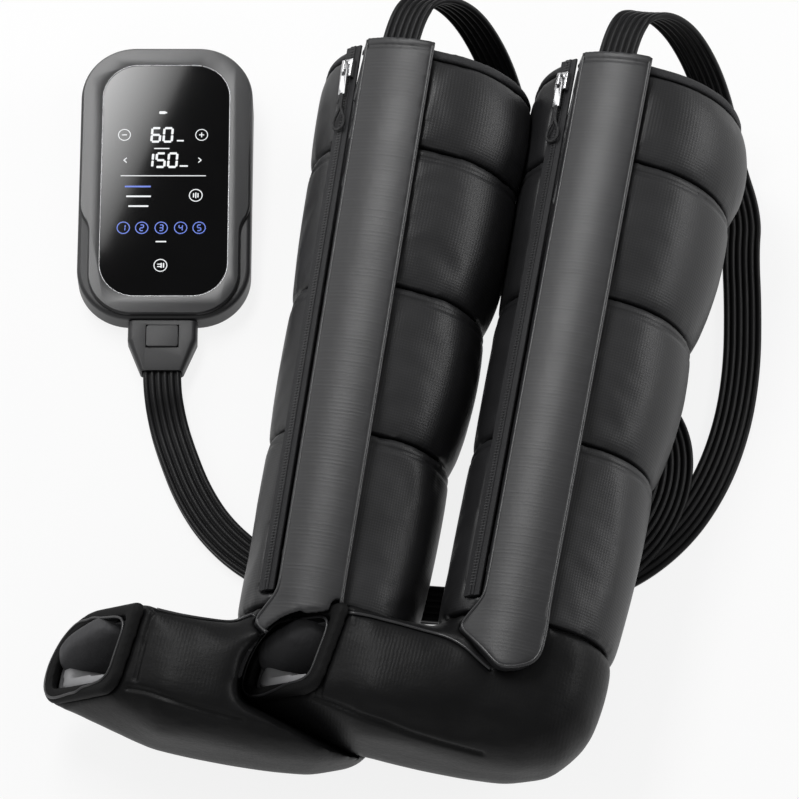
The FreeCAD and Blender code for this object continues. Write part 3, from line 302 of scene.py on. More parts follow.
def dotted_fabric(name):
    """Coated cloth with a fine diamond of raised dots, painted lighter as painted highlights on them, and soft wear.
    """
    colour = bpy.context.scene.boot_looks.fabric
    finish = Finish(name)
    weave = finish.node("ShaderNodeAttribute", {"attribute_name": "weave"}, output="Vector")
    around = finish.node("ShaderNodeSeparateXYZ", {}, {0: weave}, output="X") * DOT_PHASE
    along = finish.node("ShaderNodeSeparateXYZ", {}, {0: weave}, output="Y") * DOT_PHASE
    dots = (around + along).sine() * (around - along).sine() * 0.5 + 0.5
    cloud = finish.noise(14.0, 4.0)
    fine = finish.noise(900.0, 2.0)
    base = finish.shade(finish.ramp(cloud, ((0.35, 0.0), (0.68, 1.0))), scaled(colour, 0.75), scaled(colour, 1.25))
    # Painted highlight: the raised dots are real, but their lighter colour stands in for the light they catch.
    base = finish.shade(finish.ramp(dots, ((0.55, 0.0), (0.95, 1.0))) * 0.5, base, scaled(colour, 1.9))
    rough = 0.36 + 0.12 * cloud + 0.08 * fine
    normal = finish.bump(dots, 0.30, 0.0003)
    normal = finish.bump(cloud, 0.22, 0.003, normal)
    return finish.surface(Base_Color=base, Roughness=rough, Normal=normal, Specular_IOR_Level=0.45)


def ribbed_fabric(name):
    """Satin cloth of the panel, with fine ribs across the leg."""
    colour = bpy.context.scene.boot_looks.panel
    finish = Finish(name)
    ribs = finish.ribs(98.0, 1.6)
    cloud = finish.noise(18.0, 4.0)
    streak = finish.noise(30.0, 3.0, 0.6, finish.turned((0, 0, 0), (0.35, 9.0, 1.0)))
    worn = finish.ramp(streak, ((0.35, 0.0), (0.75, 1.0)))
    base = finish.shade(ribs * 0.3, scaled(colour, 0.85), scaled(colour, 1.25))
    base = finish.shade(worn * 0.35, base, scaled(colour, 1.6))
    rough = 0.34 + 0.10 * cloud + 0.08 * streak
    normal = finish.bump(ribs * worn, 0.22, 0.0003)
    normal = finish.bump(cloud, 0.12, 0.003, normal)
    return finish.surface(Base_Color=base, Roughness=rough, Normal=normal, Specular_IOR_Level=0.5)


def grained_leather(name):
    """Soft leather-like cloth of the foot, with grain, fine pleats and creases."""
    colour = bpy.context.scene.boot_looks.leather
    finish = Finish(name)
    grain = finish.cells(420.0, "SMOOTH_F1")
    cloud = finish.noise(11.0, 5.0)
    crease = finish.noise(26.0, 6.0, 0.62, finish.turned((0, 0, 0.2), (0.5, 1.4, 1.0)))
    pleats = finish.ribs(108.0, 2.5, "X")
    base = finish.shade(finish.ramp(cloud, ((0.35, 0.0), (0.7, 1.0))), scaled(colour, 0.8), scaled(colour, 1.4))
    rough = 0.36 + 0.13 * cloud + 0.06 * grain
    normal = finish.bump(grain, 0.15, 0.0004)
    normal = finish.bump(pleats * finish.ramp(cloud, ((0.4, 0.0), (0.65, 1.0))), 0.16, 0.0006, normal)
    normal = finish.bump(crease, 0.22, 0.004, normal)
    return finish.surface(Base_Color=base, Roughness=rough, Normal=normal, Specular_IOR_Level=0.15)


def hem_cloth(name):
    """Black cloth of the toe openings, folded in behind the rim, painted darker than the foot as painted shade inside
    the opening.
    """
    colour = bpy.context.scene.boot_looks.leather
    finish = Finish(name)
    weave = finish.cells(900.0)
    cloud = finish.noise(30.0, 4.0)
    # Painted shade: the hem is darker than the foot's leather, standing in for the shade inside the toe opening.
    base = finish.shade(cloud, scaled(colour, 0.4), scaled(colour, 0.9))
    normal = finish.bump(weave, 0.3, 0.0004)
    return finish.surface(Base_Color=base, Roughness=0.55 + 0.2 * cloud, Normal=normal, Specular_IOR_Level=0.16)


def woven_tape(name):
    """Narrow woven binding with cross ribs."""
    colour = scaled(bpy.context.scene.boot_looks.fabric, 1.5)
    finish = Finish(name)
    weave = finish.cells(1100.0)
    cloud = finish.noise(40.0, 3.0)
    base = finish.shade(finish.ramp(weave, ((0.1, 1.0), (0.6, 0.0))) * 0.6, colour, scaled(colour, 2.2))
    rough = 0.58 + 0.2 * cloud
    normal = finish.bump(weave, 0.5, 0.0004)
    return finish.surface(Base_Color=base, Roughness=rough, Normal=normal, Specular_IOR_Level=0.35)


def smooth_piping(name):
    """Bright-edged vinyl piping."""
    finish = Finish(name)
    cloud = finish.noise(60.0, 3.0)
    base = finish.shade(cloud, (0.018, 0.018, 0.019), (0.034, 0.034, 0.036))
    return finish.surface(Base_Color=base, Roughness=0.24 + 0.10 * cloud, Specular_IOR_Level=0.5)


def bright_line(name):
    """Bright plated line round the glass."""
    finish = Finish(name)
    cloud = finish.noise(24.0, 3.0)
    base = finish.shade(cloud, (0.20, 0.20, 0.205), (0.38, 0.38, 0.39))
    return finish.surface(Base_Color=base, Metallic=1.0, Roughness=0.20 + 0.12 * cloud)


def lining_cloth(name):
    """Brushed lining with soft wrinkles, their hollows painted darker and their crests lighter as painted shade."""
    colour = bpy.context.scene.boot_looks.lining
    finish = Finish(name)
    nap = finish.noise(700.0, 3.0)
    fold_and_shade = finish.noise(22.0, 5.0, 0.6, finish.turned((0.2, 0, 0.3), (1.0, 0.5, 1.0)))
    # Painted shade: the colour follows the wrinkles, darker in their hollows and lighter on their crests.
    base = finish.shade(fold_and_shade, scaled(colour, 0.7), scaled(colour, 1.5))
    normal = finish.bump(nap, 0.3, 0.0004)
    normal = finish.bump(fold_and_shade, 0.8, 0.006, normal)
    return finish.surface(Base_Color=base, Roughness=0.62 + 0.2 * nap, Normal=normal, Specular_IOR_Level=0.35)


def insole_cloth(name):
    """Pale satin of the insole."""
    colour = bpy.context.scene.boot_looks.insole
    finish = Finish(name)
    cloud = finish.noise(20.0, 5.0)
    nap = finish.noise(800.0, 2.0)
    base = finish.shade(cloud, scaled(colour, 0.65), scaled(colour, 1.3))
    normal = finish.bump(nap, 0.25, 0.0003)
    normal = finish.bump(cloud, 0.25, 0.004, normal)
    return finish.surface(Base_Color=base, Roughness=0.42 + 0.2 * cloud, Normal=normal)


def plated_metal(name):
    """Bright plated metal with fine scuffs."""
    finish = Finish(name)
    scuff = finish.noise(500.0, 4.0, 0.65, finish.turned((0, 0, 0.5), (1.0, 0.15, 1.0)))
    base = finish.shade(scuff, (0.52, 0.52, 0.53), (0.72, 0.72, 0.73))
    return finish.surface(Base_Color=base, Metallic=1.0, Roughness=0.16 + 0.16 * scuff)


def braided_cord(name):
    """Tight braid of the pull's cord."""
    finish = Finish(name)
    braid = finish.cells(1300.0)
    base = finish.shade(finish.ramp(braid, ((0.1, 1.0), (0.6, 0.0))), (0.012, 0.012, 0.013), (0.06, 0.06, 0.062))
    return finish.surface(Base_Color=base, Roughness=0.6 + 0.15 * braid, Normal=finish.bump(braid, 0.6, 0.0005))


def hose_rubber(name):
    """Smooth black tube skin with a satin bloom."""
    colour = bpy.context.scene.hose_looks.colour
    finish = Finish(name)
    cloud = finish.noise(30.0, 4.0)
    fine = finish.noise(1200.0, 2.0)
    base = finish.shade(cloud, scaled(colour, 0.7), scaled(colour, 1.5))
    rough = 0.32 + 0.14 * cloud + 0.06 * fine
    return finish.surface(Base_Color=base, Roughness=rough, Normal=finish.bump(fine, 0.12, 0.0003),
                          Specular_IOR_Level=0.2)


def satin_bezel(name):
    """Satin lacquer of the bezel."""
    colour = bpy.context.scene.controller_looks.bezel
    finish = Finish(name)
    grain = finish.noise(2200.0, 2.0)
    cloud = finish.noise(12.0, 3.0)
    base = finish.shade(cloud, scaled(colour, 0.85), scaled(colour, 1.15))
    return finish.surface(Base_Color=base, Roughness=0.25 + 0.06 * grain + 0.04 * cloud,
                          Normal=finish.bump(grain, 0.06, 0.0002), Specular_IOR_Level=0.5)


def moulded_case(name):
    """Finely eroded moulded plastic."""
    colour = bpy.context.scene.controller_looks.case
    finish = Finish(name)
    grain = finish.noise(1800.0, 3.0)
    cloud = finish.noise(16.0, 3.0)
    base = finish.shade(cloud, scaled(colour, 0.85), scaled(colour, 1.2))
    return finish.surface(Base_Color=base, Roughness=0.36 + 0.12 * grain + 0.06 * cloud,
                          Normal=finish.bump(grain, 0.14, 0.0003), Specular_IOR_Level=0.5)


def plug_plastic(name):
    """Matte moulded plastic of the plug."""
    finish = Finish(name)
    grain = finish.noise(1500.0, 3.0)
    cloud = finish.noise(30.0, 3.0)
    base = finish.shade(cloud, (0.014, 0.014, 0.015), (0.024, 0.024, 0.0255))
    return finish.surface(Base_Color=base, Roughness=0.42 + 0.14 * grain, Normal=finish.bump(grain, 0.15, 0.0003))


def black_glass(name):
    """Polished black glass."""
    finish = Finish(name)
    smear = finish.noise(25.0, 4.0)
    base = finish.shade(smear, (0.0012, 0.0012, 0.0014), (0.0024, 0.0024, 0.0027))
    return finish.surface(Base_Color=base, Roughness=0.03 + 0.03 * smear, Specular_IOR_Level=0.16)


def lit_sign(name):
    """A sign lit from behind the glass."""
    looks = bpy.context.scene.controller_looks
    colour = looks.blue if name.endswith("blue") else looks.white
    finish = Finish(name)
    cloud = finish.noise(90.0, 2.0)
    glow = finish.shade(cloud, scaled(colour, 0.9), scaled(colour, 1.08))
    return finish.surface(Base_Color=(0.0, 0.0, 0.0), Roughness=0.3, Emission_Color=glow, Emission_Strength=looks.glow)


def plain_metal(name):
    """Brushed steel of inner works."""
    finish = Finish(name)
    brush = finish.noise(300.0, 3.0, 0.6, finish.turned((0, 0, 0), (0.1, 4.0, 1.0)))
    base = finish.shade(brush, (0.36, 0.36, 0.37), (0.56, 0.56, 0.57))
    return finish.surface(Base_Color=base, Metallic=1.0, Roughness=0.28 + 0.15 * brush)


def inner_plastic(name):
    """Matte inner plastic."""
    finish = Finish(name)
    grain = finish.noise(900.0, 3.0)
    base = finish.shade(grain, (0.11, 0.11, 0.115), (0.17, 0.17, 0.175))
    return finish.surface(Base_Color=base, Roughness=0.5 + 0.12 * grain)


def circuit_board(name):
    """Green board with fine tracks."""
    finish = Finish(name)
    tracks = finish.cells(260.0, "DISTANCE_TO_EDGE")
    base = finish.shade(finish.ramp(tracks, ((0.0, 1.0), (0.06, 0.0))), (0.01, 0.09, 0.04), (0.12, 0.2, 0.08))
    return finish.surface(Base_Color=base, Roughness=0.35 + 0.1 * finish.noise(60.0))


def battery_wrap(name):
    """Shrink wrap over the cells."""
    finish = Finish(name)
    cloud = finish.noise(80.0, 3.0)
    base = finish.shade(cloud, (0.03, 0.07, 0.2), (0.05, 0.11, 0.3))
    return finish.surface(Base_Color=base, Roughness=0.28 + 0.1 * cloud)


def soft_rubber(name):
    """Matte rubber of feet and gasket."""
    finish = Finish(name)
    grain = finish.noise(1400.0, 3.0)
    base = finish.shade(grain, (0.018, 0.018, 0.018), (0.035, 0.035, 0.035))
    return finish.surface(Base_Color=base, Roughness=0.65 + 0.15 * grain, Normal=finish.bump(grain, 0.2, 0.0003))


MAKERS = {
    "dotted_fabric": dotted_fabric, "ribbed_fabric": ribbed_fabric, "grained_leather": grained_leather,
    "hem_cloth": hem_cloth, "woven_tape": woven_tape, "smooth_piping": smooth_piping, "bright_line": bright_line,
    "lining_cloth": lining_cloth, "insole_cloth": insole_cloth, "plated_metal": plated_metal,
    "braided_cord": braided_cord, "hose_rubber": hose_rubber, "satin_bezel": satin_bezel, "moulded_case": moulded_case,
    "plug_plastic": plug_plastic, "black_glass": black_glass, "sign_white": lit_sign, "sign_blue": lit_sign,
    "plain_metal": plain_metal, "inner_plastic": inner_plastic, "circuit_board": circuit_board,
    "battery_wrap": battery_wrap, "soft_rubber": soft_rubber,
}

MERGE_GAP = 1e-5
FINE_MERGE_GAP = 1e-6
FLAT_ANGLE = math.radians(2)
EDGE_ANGLE = 40.0
SEARCH_PIXELS = 24
SEARCH_STEP = 2
TRACE_STEPS = 24
BELL_REACH = 3


def pick(*objects):
    """Selects only these objects, the first one active."""
    bpy.ops.object.select_all(action="DESELECT")
    for chosen in objects:
        chosen.select_set(True)
    bpy.context.view_layer.objects.active = objects[0]


def edit(piece, *steps):
    """Runs edit-mode steps on a piece with everything selected."""
    pick(piece)
    bpy.ops.object.mode_set(mode="EDIT")
    bpy.ops.mesh.select_all(action="SELECT")
    for step, settings in steps:
        step(**settings)
    bpy.ops.object.mode_set(mode="OBJECT")


def modify(piece, kind, **settings):
    """Adds a modifier and applies it."""
    modifier = piece.modifiers.new(kind.title(), kind)
    for key, value in settings.items():
        setattr(modifier, key, value)
    pick(piece)
    bpy.ops.object.modifier_apply(modifier=modifier.name)


def node_copy(name, *nodes):
    """A new piece from the merged meshes of CAD nodes."""
    copies = []
    for node in nodes:
        copy = bpy.data.objects.new(name, NODES[node].data.copy())
        bpy.context.collection.objects.link(copy)
        copies.append(copy)
    pick(*copies)
    if len(copies) > 1:
        bpy.ops.object.join()
    piece = copies[0]
    piece.name = name
    edit(piece, (bpy.ops.mesh.remove_doubles, {"threshold": MERGE_GAP}))
    return piece


def dress(piece, body, slot, finish, *nodes):
    """Gives a piece its finish, its body and the nodes that it stands for."""
    piece.data.materials.clear()
    piece.data.materials.append(finish_of(finish))
    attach(piece, body)
    if nodes:
        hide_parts(*nodes)
    return piece


def smooth(piece, angle):
    """Smooth shading with crisp corners."""
    pick(piece)
    bpy.ops.object.shade_smooth_by_angle(angle=math.radians(angle))


def soft(piece):
    """Smooth shading all over."""
    pick(piece)
    bpy.ops.object.shade_smooth()


def even(piece, voxel, rounds):
    """Gives a piece an even mesh with rounded edges."""
    modify(piece, "REMESH", mode="VOXEL", voxel_size=voxel, adaptivity=0.0)
    modify(piece, "SMOOTH", factor=0.5, iterations=rounds)


def added(name, primitive, **settings):
    """A new primitive, alone in the selection."""
    bpy.ops.object.select_all(action="DESELECT")
    primitive(**settings)
    piece = bpy.context.object
    piece.name = name
    return piece


def bevelled(name, width, segments, *nodes):
    """A copy of rigid nodes with softened edges."""
    piece = node_copy(name, *nodes)
    edit(piece, (bpy.ops.mesh.dissolve_limited, {"angle_limit": FLAT_ANGLE}))
    modify(piece, "BEVEL", width=width, segments=segments, limit_method="ANGLE",
           angle_limit=math.radians(EDGE_ANGLE), harden_normals=False)
    smooth(piece, EDGE_ANGLE)
    return piece


def tree_of(*nodes):
    """A search tree over the meshes of CAD nodes or pieces."""
    points = []
    faces = []
    for node in nodes:
        mesh = (NODES[node] if isinstance(node, str) else node).data
        start = len(points)
        points += [vertex.co.copy() for vertex in mesh.vertices]
        faces += [tuple(index + start for index in polygon.vertices) for polygon in mesh.polygons]
    return BVHTree.FromPolygons(points, faces)


def camera_way():
    """Direction from the camera's aim to the camera."""
    looks = bpy.context.scene.stage_looks
    flat = math.cos(looks.elevation)
    return Vector((math.sin(looks.azimuth) * flat, -math.cos(looks.azimuth) * flat, math.sin(looks.elevation)))


def photo_ray(px, py):
    """Start and direction of the camera's ray through a pixel of the photo's frame."""
    away = camera_way()
    right = UP.cross(away).normalized()
    up = away.cross(right)
    scale = SENSOR / LENS / PHOTO
    way = right * ((px - PHOTO / 2) * scale) + up * ((PHOTO / 2 - py) * scale) - away
    return AIM + away * bpy.context.scene.stage_looks.distance, way.normalized()


def spline_points(name, points, resolution):
    """Points along a smooth spline through a route's control points."""
    curve = bpy.data.curves.new(name, "CURVE")
    curve.dimensions = "3D"
    curve.resolution_u = resolution
    spline = curve.splines.new("NURBS")
    spline.points.add(len(points) - 1)
    for control, point in zip(spline.points, points):
        control.co = (*point, 1.0)
    spline.order_u = 3
    spline.use_endpoint_u = True
    carrier = bpy.data.objects.new(name, curve)
    bpy.context.collection.objects.link(carrier)
    line = bpy.data.meshes.new_from_object(carrier.evaluated_get(bpy.context.evaluated_depsgraph_get()))
    found = [vertex.co.copy() for vertex in line.vertices]
    bpy.data.objects.remove(carrier)
    bpy.data.meshes.remove(line)
    return found


def traced(name, piece, pixels):
    """A smooth line over a piece's skin, through the points seen at some pixels of the photo."""
    tree = tree_of(piece)
    points = []
    for px, py in pixels:
        hits = (tree.ray_cast(*photo_ray(px, py + drop))[0] for drop in range(0, SEARCH_PIXELS, SEARCH_STEP))
        points.append(next(place for place in hits if place is not None))
    return [tree.find_nearest(place)[0] for place in spline_points(name, points, TRACE_STEPS)]


def press_line(piece, line, depth, half_width):
    """Presses a sewn line into a piece's skin, or raises a ridge where the depth is negative."""
    finder = KDTree(len(line))
    for index, place in enumerate(line):
        finder.insert(place, index)
    finder.balance()
    normals = [vertex.normal.copy() for vertex in piece.data.vertices]
    for vertex, normal in zip(piece.data.vertices, normals):
        gap = finder.find(vertex.co)[2]
        if gap < BELL_REACH * half_width:
            vertex.co -= normal * (depth * math.exp(-((gap / half_width) ** 2)))


def piping(name, line, radius, closed=False):
    """A thin round trim along a line."""
    curve = bpy.data.curves.new(name, "CURVE")
    curve.dimensions = "3D"
    curve.bevel_depth = radius
    curve.bevel_resolution = 2
    curve.use_fill_caps = True
    spline = curve.splines.new("POLY")
    spline.points.add(len(line) - 1)
    for control, place in zip(spline.points, line):
        control.co = (*place, 1.0)
    spline.use_cyclic_u = closed
    carrier = bpy.data.objects.new(name, curve)
    bpy.context.collection.objects.link(carrier)
    pick(carrier)
    bpy.ops.object.convert(target="MESH")
    trim = bpy.context.object
    edit(trim, (bpy.ops.mesh.remove_doubles, {"threshold": FINE_MERGE_GAP}),
         (bpy.ops.mesh.normals_make_consistent, {"inside": False}))
    soft(trim)
    return trim


def eased(loop, rounds):
    """A closed loop of points, evened out."""
    for _ in range(rounds):
        loop = [(loop[index - 1] + loop[index] * 2 + loop[(index + 1) % len(loop)]) / 4 for index in range(len(loop))]
    return loop


CLOTH = {
    "quality": 4, "mass": 0.25, "tension_stiffness": 14, "compression_stiffness": 14, "shear_stiffness": 5,
    "bending_stiffness": 0.6, "use_pressure": True, "shrink_min": -0.012,
}
CLOTH_FRAMES = 14
SKIN_ROUNDS = 10


def inflate(piece, held):
    """Swells a piece as cloth under air pressure, with some points held still."""
    looks = bpy.context.scene.boot_looks
    group = piece.vertex_groups.new(name="held")
    group.add(held, 1.0, "REPLACE")
    start = [vertex.co.copy() for vertex in piece.data.vertices]
    cloth = piece.modifiers.new("Cloth", "CLOTH")
    for key, value in CLOTH.items():
        setattr(cloth.settings, key, value)
    cloth.settings.uniform_pressure_force = looks.pressure
    cloth.settings.effector_weights.gravity = 0
    cloth.settings.vertex_group_mass = group.name
    cloth.point_cache.frame_start = 1
    cloth.point_cache.frame_end = CLOTH_FRAMES
    for step in range(1, CLOTH_FRAMES + 1):
        bpy.context.scene.frame_set(step)
    pick(piece)
    bpy.ops.object.modifier_apply(modifier=cloth.name)
    for vertex, old in zip(piece.data.vertices, start):
        move = vertex.co - old
        vertex.co = old + move * (looks.swell / (looks.swell + move.length))
    bpy.context.scene.frame_set(1)
    modify(piece, "SMOOTH", factor=0.5, iterations=SKIN_ROUNDS, vertex_group="held", invert_vertex_group=True)
    piece.vertex_groups.clear()


AXIS_ROUNDS = 30
SOLE_POINTS = 12


def mouth_of(side):
    """Middle, outward direction and upward direction of a boot's toe opening."""
    places = [vertex.co for vertex in NODES[f"{side}_toe_binding"].data.vertices]
    middle = sum(places, Vector()) / len(places)
    toe = (BOOTS[side].to_3x3() @ Vector((1, 0, 0))).normalized()
    spread = Matrix(((0, 0, 0), (0, 0, 0), (0, 0, 0)))
    for place in places:
        arm = place - middle
        for row in range(3):
            spread[row] += arm[row] * arm
    out = toe.copy()
    sharp = spread.inverted()
    for _ in range(AXIS_ROUNDS):
        out = (sharp @ out).normalized()
    if out.dot(toe) < 0:
        out.negate()
    sole = [vertex.co for vertex in NODES[f"{side}_insole"].data.vertices]
    nearest = sorted(sole, key=lambda place: (place - middle).length)[:SOLE_POINTS]
    up = middle - sum(nearest, Vector()) / len(nearest)
    return middle, out, (up - out * up.dot(out)).normalized()


TOE_ROOM_MARGIN = 0.6
TOE_ROOM_REACH = 110.0
TOE_ROOM_DEPTH = 40.0
TOE_ROOM_SPOKES = 64


def toe_room():
    """A closed solid before the right boot's toe opening, which the soft left boot under it gives way to."""
    places = [vertex.co for vertex in NODES["right_toe_binding"].data.vertices]
    middle, out, _ = mouth_of("right")
    away = camera_way()
    right = UP.cross(away).normalized()
    up = away.cross(right)
    count = TOE_ROOM_SPOKES
    far = [None] * count
    for place in places:
        arm = place - middle
        flat = arm - away * arm.dot(away)
        index = int((math.atan2(flat.dot(up), flat.dot(right)) / math.tau % 1.0) * count) % count
        if far[index] is None or flat.length > far[index][0]:
            far[index] = (flat.length, place + flat.normalized() * (TOE_ROOM_MARGIN * MM))
    ring = eased([spot[1] for spot in far if spot], 2)
    count = len(ring)
    points = ring + [place + away * (TOE_ROOM_REACH * MM) for place in ring]
    points += [middle - out * (TOE_ROOM_DEPTH * MM), middle + away * (TOE_ROOM_REACH * MM)]
    faces = []
    for index in range(count):
        after = (index + 1) % count
        faces += [(index, after, count + after, count + index), (after, index, 2 * count),
                  (count + index, count + after, 2 * count + 1)]
    mesh = bpy.data.meshes.new("toe_room")
    mesh.from_pydata(points, [], faces)
    room = bpy.data.objects.new("toe_room", mesh)
    bpy.context.collection.objects.link(room)
    edit(room, (bpy.ops.mesh.normals_make_consistent, {"inside": False}))
    return room


def give_way(*pieces):
    """Cuts the room of the right boot's toe out of pieces of the left boot."""
    room = toe_room()
    for piece in pieces:
        modify(piece, "BOOLEAN", object=room, operation="DIFFERENCE", solver="EXACT")
    bpy.data.objects.remove(room)


WEAVE_RADIUS = 80.0
SEAM_DROP = 9.0
SEAM_DEPTH = 1.4
SEAM_HALF_WIDTH = 1.7
PAD_SHRINK = 0.5
LEG_CLEARANCE = 7.0
FOOT_CLEARANCE = 6.0
EDGE_ROUNDS = 4
FOOT_ROUNDS = 26
ANKLE_LEVEL = 112.0
FLOOR_LEVEL = 2.5
ALONG_LEG = 0.8


def pad(piece, side, shrink, near_nodes, clearance, rounds=0):
    """Turns a merged copy into a padded piece: even mesh, round edges, then air."""
    looks = bpy.context.scene.boot_looks
    even(piece, looks.voxel, EDGE_ROUNDS)
    modify(piece, "DISPLACE", strength=-shrink, mid_level=0.0)
    frame_back = BOOTS[side].inverted()
    neighbours = tree_of(*near_nodes)
    if rounds:
        free = [vertex.index for vertex in piece.data.vertices
                if neighbours.find_nearest(vertex.co, clearance)[0] is None]
        piece.vertex_groups.new(name="free").add(free, 1.0, "REPLACE")
        modify(piece, "SMOOTH", factor=0.5, iterations=rounds, vertex_group="free")
        piece.vertex_groups.clear()
    held = []
    turn = frame_back.to_3x3().normalized()
    for vertex in piece.data.vertices:
        local = frame_back @ vertex.co
        normal = turn @ vertex.normal
        inward = normal.x * local.x + normal.y * local.y < 0 and local.z > ANKLE_LEVEL
        across = abs(normal.z) > ALONG_LEG
        touching = neighbours.find_nearest(vertex.co, clearance)[0] is not None
        if inward or across or touching or vertex.co.z < FLOOR_LEVEL * MM:
            held.append(vertex.index)
    inflate(piece, held)
    modify(piece, "SMOOTH", factor=0.4, iterations=2)
    modify(piece, "SUBSURF", levels=1, render_levels=1)
    soft(piece)


def weave_map(piece, side):
    """Stores how far each point of a leg's pad lies round and along the leg, in metres."""
    back = BOOTS[side].inverted()
    values = []
    for vertex in piece.data.vertices:
        local = back @ vertex.co
        values += (math.atan2(local.x, local.y) * WEAVE_RADIUS * MM, local.z * MM, 0.0)
    layer = piece.data.attributes.new("weave", "FLOAT_VECTOR", "POINT")
    layer.data.foreach_set("vector", values)


def double_seam(piece, side):
    """Presses a second sewn line under the upper seam of a leg's pad."""
    back = BOOTS[side].inverted()
    turn = back.to_3x3().normalized()
    spots = [back @ vertex.co for vertex in piece.data.vertices]
    normals = [turn @ vertex.normal for vertex in piece.data.vertices]
    level = max(spot.z for spot in spots) - SEAM_DROP
    for vertex, spot, normal in zip(piece.data.vertices, spots, normals):
        outward = normal.x * spot.x + normal.y * spot.y > 0
        gap = (spot.z - level) / SEAM_HALF_WIDTH
        if outward and abs(gap) < BELL_REACH:
            vertex.co -= vertex.normal * (SEAM_DEPTH * MM * math.exp(-gap * gap))


class LEGMASSAGER_OT_leg_pads(bpy.types.Operator):
    """Makes the padded air zones of both legs"""
    bl_idname = "legmassager.leg_pads"
    bl_label = "Leg pads"

    def execute(self, context):
        for side, other in (("left", "right"), ("right", "left")):
            near = [f"{side}_hose_cover", f"{side}_zipper_tape_front", f"{side}_zipper_tape_side",
                    f"{other}_foot_chamber", f"{other}_toe_binding"]
            near += [f"{other}_{zone}_chamber" for zone in ZONES]
            for zone in ZONES:
                node = f"{side}_{zone}_chamber"
                piece = node_copy(f"{side}_{zone}_pad", node)
                if node in GIVING_NODES:
                    give_way(piece)
                pad(piece, side, PAD_SHRINK * MM, near, LEG_CLEARANCE * MM)
                if zone != "thigh":
                    double_seam(piece, side)
                weave_map(piece, side)
                dress(piece, ROOT, "padded_fabric", "dotted_fabric", node)
        return {"FINISHED"}


# Sewn lines and ridges of the feet, at pixels of the photo
FOOT_LINES = {
    "left": {
        "crease": ((127, 688), (141, 689), (168, 698), (198, 709), (240, 720)),
        "hem_line": ((157, 603), (149, 625), (141, 653), (135, 679)),
        "ridge": ((157, 601), (200, 607), (247, 615), (263, 619)),
    },
    "right": {
        "crease": ((314, 697), (341, 706), (382, 722), (422, 738), (481, 754)),
        "hem_line": ((340, 613), (334, 637), (329, 668), (320, 694)),
        "ridge": ((349, 613), (392, 621), (426, 631), (443, 635), (463, 645), (480, 661), (490, 669)),
    },
}

# Depth and half width of each line, in millimetres
FOOT_PRESS = {"crease": (2.4, 2.2), "hem_line": (1.8, 2.0), "ridge": (1.6, 2.6)}
FOOT_PIPING = 1.3


class LEGMASSAGER_OT_foot_pads(bpy.types.Operator):
    """Makes the soft feet of both boots with their sewn lines"""
    bl_idname = "legmassager.foot_pads"
    bl_label = "Foot pads"

    def execute(self, context):
        for side, other in (("left", "right"), ("right", "left")):
            node = f"{side}_foot_chamber"
            near = [f"{side}_hose_cover", f"{side}_toe_binding", f"{other}_foot_chamber", f"{other}_toe_binding",
                    f"{other}_ankle_chamber", f"{side}_foot_liner"]
            piece = node_copy(f"{side}_foot_pad", node)
            if node in GIVING_NODES:
                give_way(piece)
            pad(piece, side, PAD_SHRINK * MM, near, FOOT_CLEARANCE * MM, FOOT_ROUNDS)
            lines = {key: traced(f"{side}_{key}", piece, pixels) for key, pixels in FOOT_LINES[side].items()}
            for key, (depth, half_width) in FOOT_PRESS.items():
                press_line(piece, lines[key], depth * MM, half_width * MM)
            dress(piece, ROOT, "soft_leather", "grained_leather", node)
            trim = piping(f"{side}_foot_piping", lines["ridge"], FOOT_PIPING * MM)
            dress(trim, ROOT, "soft_leather", "smooth_piping")
        return {"FINISHED"}


RIM_LEAN = 0.75
RIM_SPOKES = 90
RIM_ROUNDS = 6
HEM_VOXEL = 1.6
HEM_ROUNDS = {"top": 6, "toe": 14}
TOE_PIPING = 1.1


def rim_loop(piece, middle, out, up):
    """The thin rim of a toe's hem as a closed loop, outermost at the toe's end and innermost at the instep."""
    across = out.cross(up)
    instep = UP.cross(camera_way()).normalized()
    best = [None] * RIM_SPOKES
    for vertex in piece.data.vertices:
        arm = vertex.co - middle
        flat = arm - out * arm.dot(out)
        index = int((math.atan2(arm.dot(across), arm.dot(up)) / math.tau % 1.0) * RIM_SPOKES) % RIM_SPOKES
        score = arm.dot(out) - RIM_LEAN * flat.dot(instep)
        if best[index] is None or score > best[index][0]:
            best[index] = (score, vertex.co.copy())
    return eased([spot[1] for spot in best if spot], RIM_ROUNDS)


class LEGMASSAGER_OT_bindings(bpy.types.Operator):
    """Makes the hems of the tops and toes"""
    bl_idname = "legmassager.bindings"
    bl_label = "Bindings"

    def execute(self, context):
        for side in BOOTS:
            # The toe hem's finish carries painted shade for the inside of the opening.
            for edge, finish in (("top", "woven_tape"), ("toe", "hem_cloth")):
                node = f"{side}_{edge}_binding"
                piece = node_copy(f"{side}_{edge}_hem", node)
                even(piece, HEM_VOXEL * MM, HEM_ROUNDS[edge])
                soft(piece)
                dress(piece, ROOT, "binding_fabric", finish, node)
                if edge == "toe":
                    loop = rim_loop(piece, *mouth_of(side))
                    trim = piping(f"{side}_toe_piping", loop, TOE_PIPING * MM, closed=True)
                    dress(trim, ROOT, "binding_fabric", "smooth_piping")
        return {"FINISHED"}


CUSHION_HEIGHT = 0.52
CUSHION_HANG = 0.8
CUSHION_SET_BACK = 24.0
CUSHION_LENGTH = 34.0
CUSHION_WIDTH = 1.12
CUSHION_SQUARENESS = 0.62
GATHER_COUNT = 13
GATHER_DEPTH = 0.05
GATHER_SWAY = 1.8
GATHER_BENDS = 3
NEAR_AXIS = 0.96
LINING_ANGLE = 50.0
INSOLE_VOXEL = 2.2
INSOLE_ROUNDS = 6


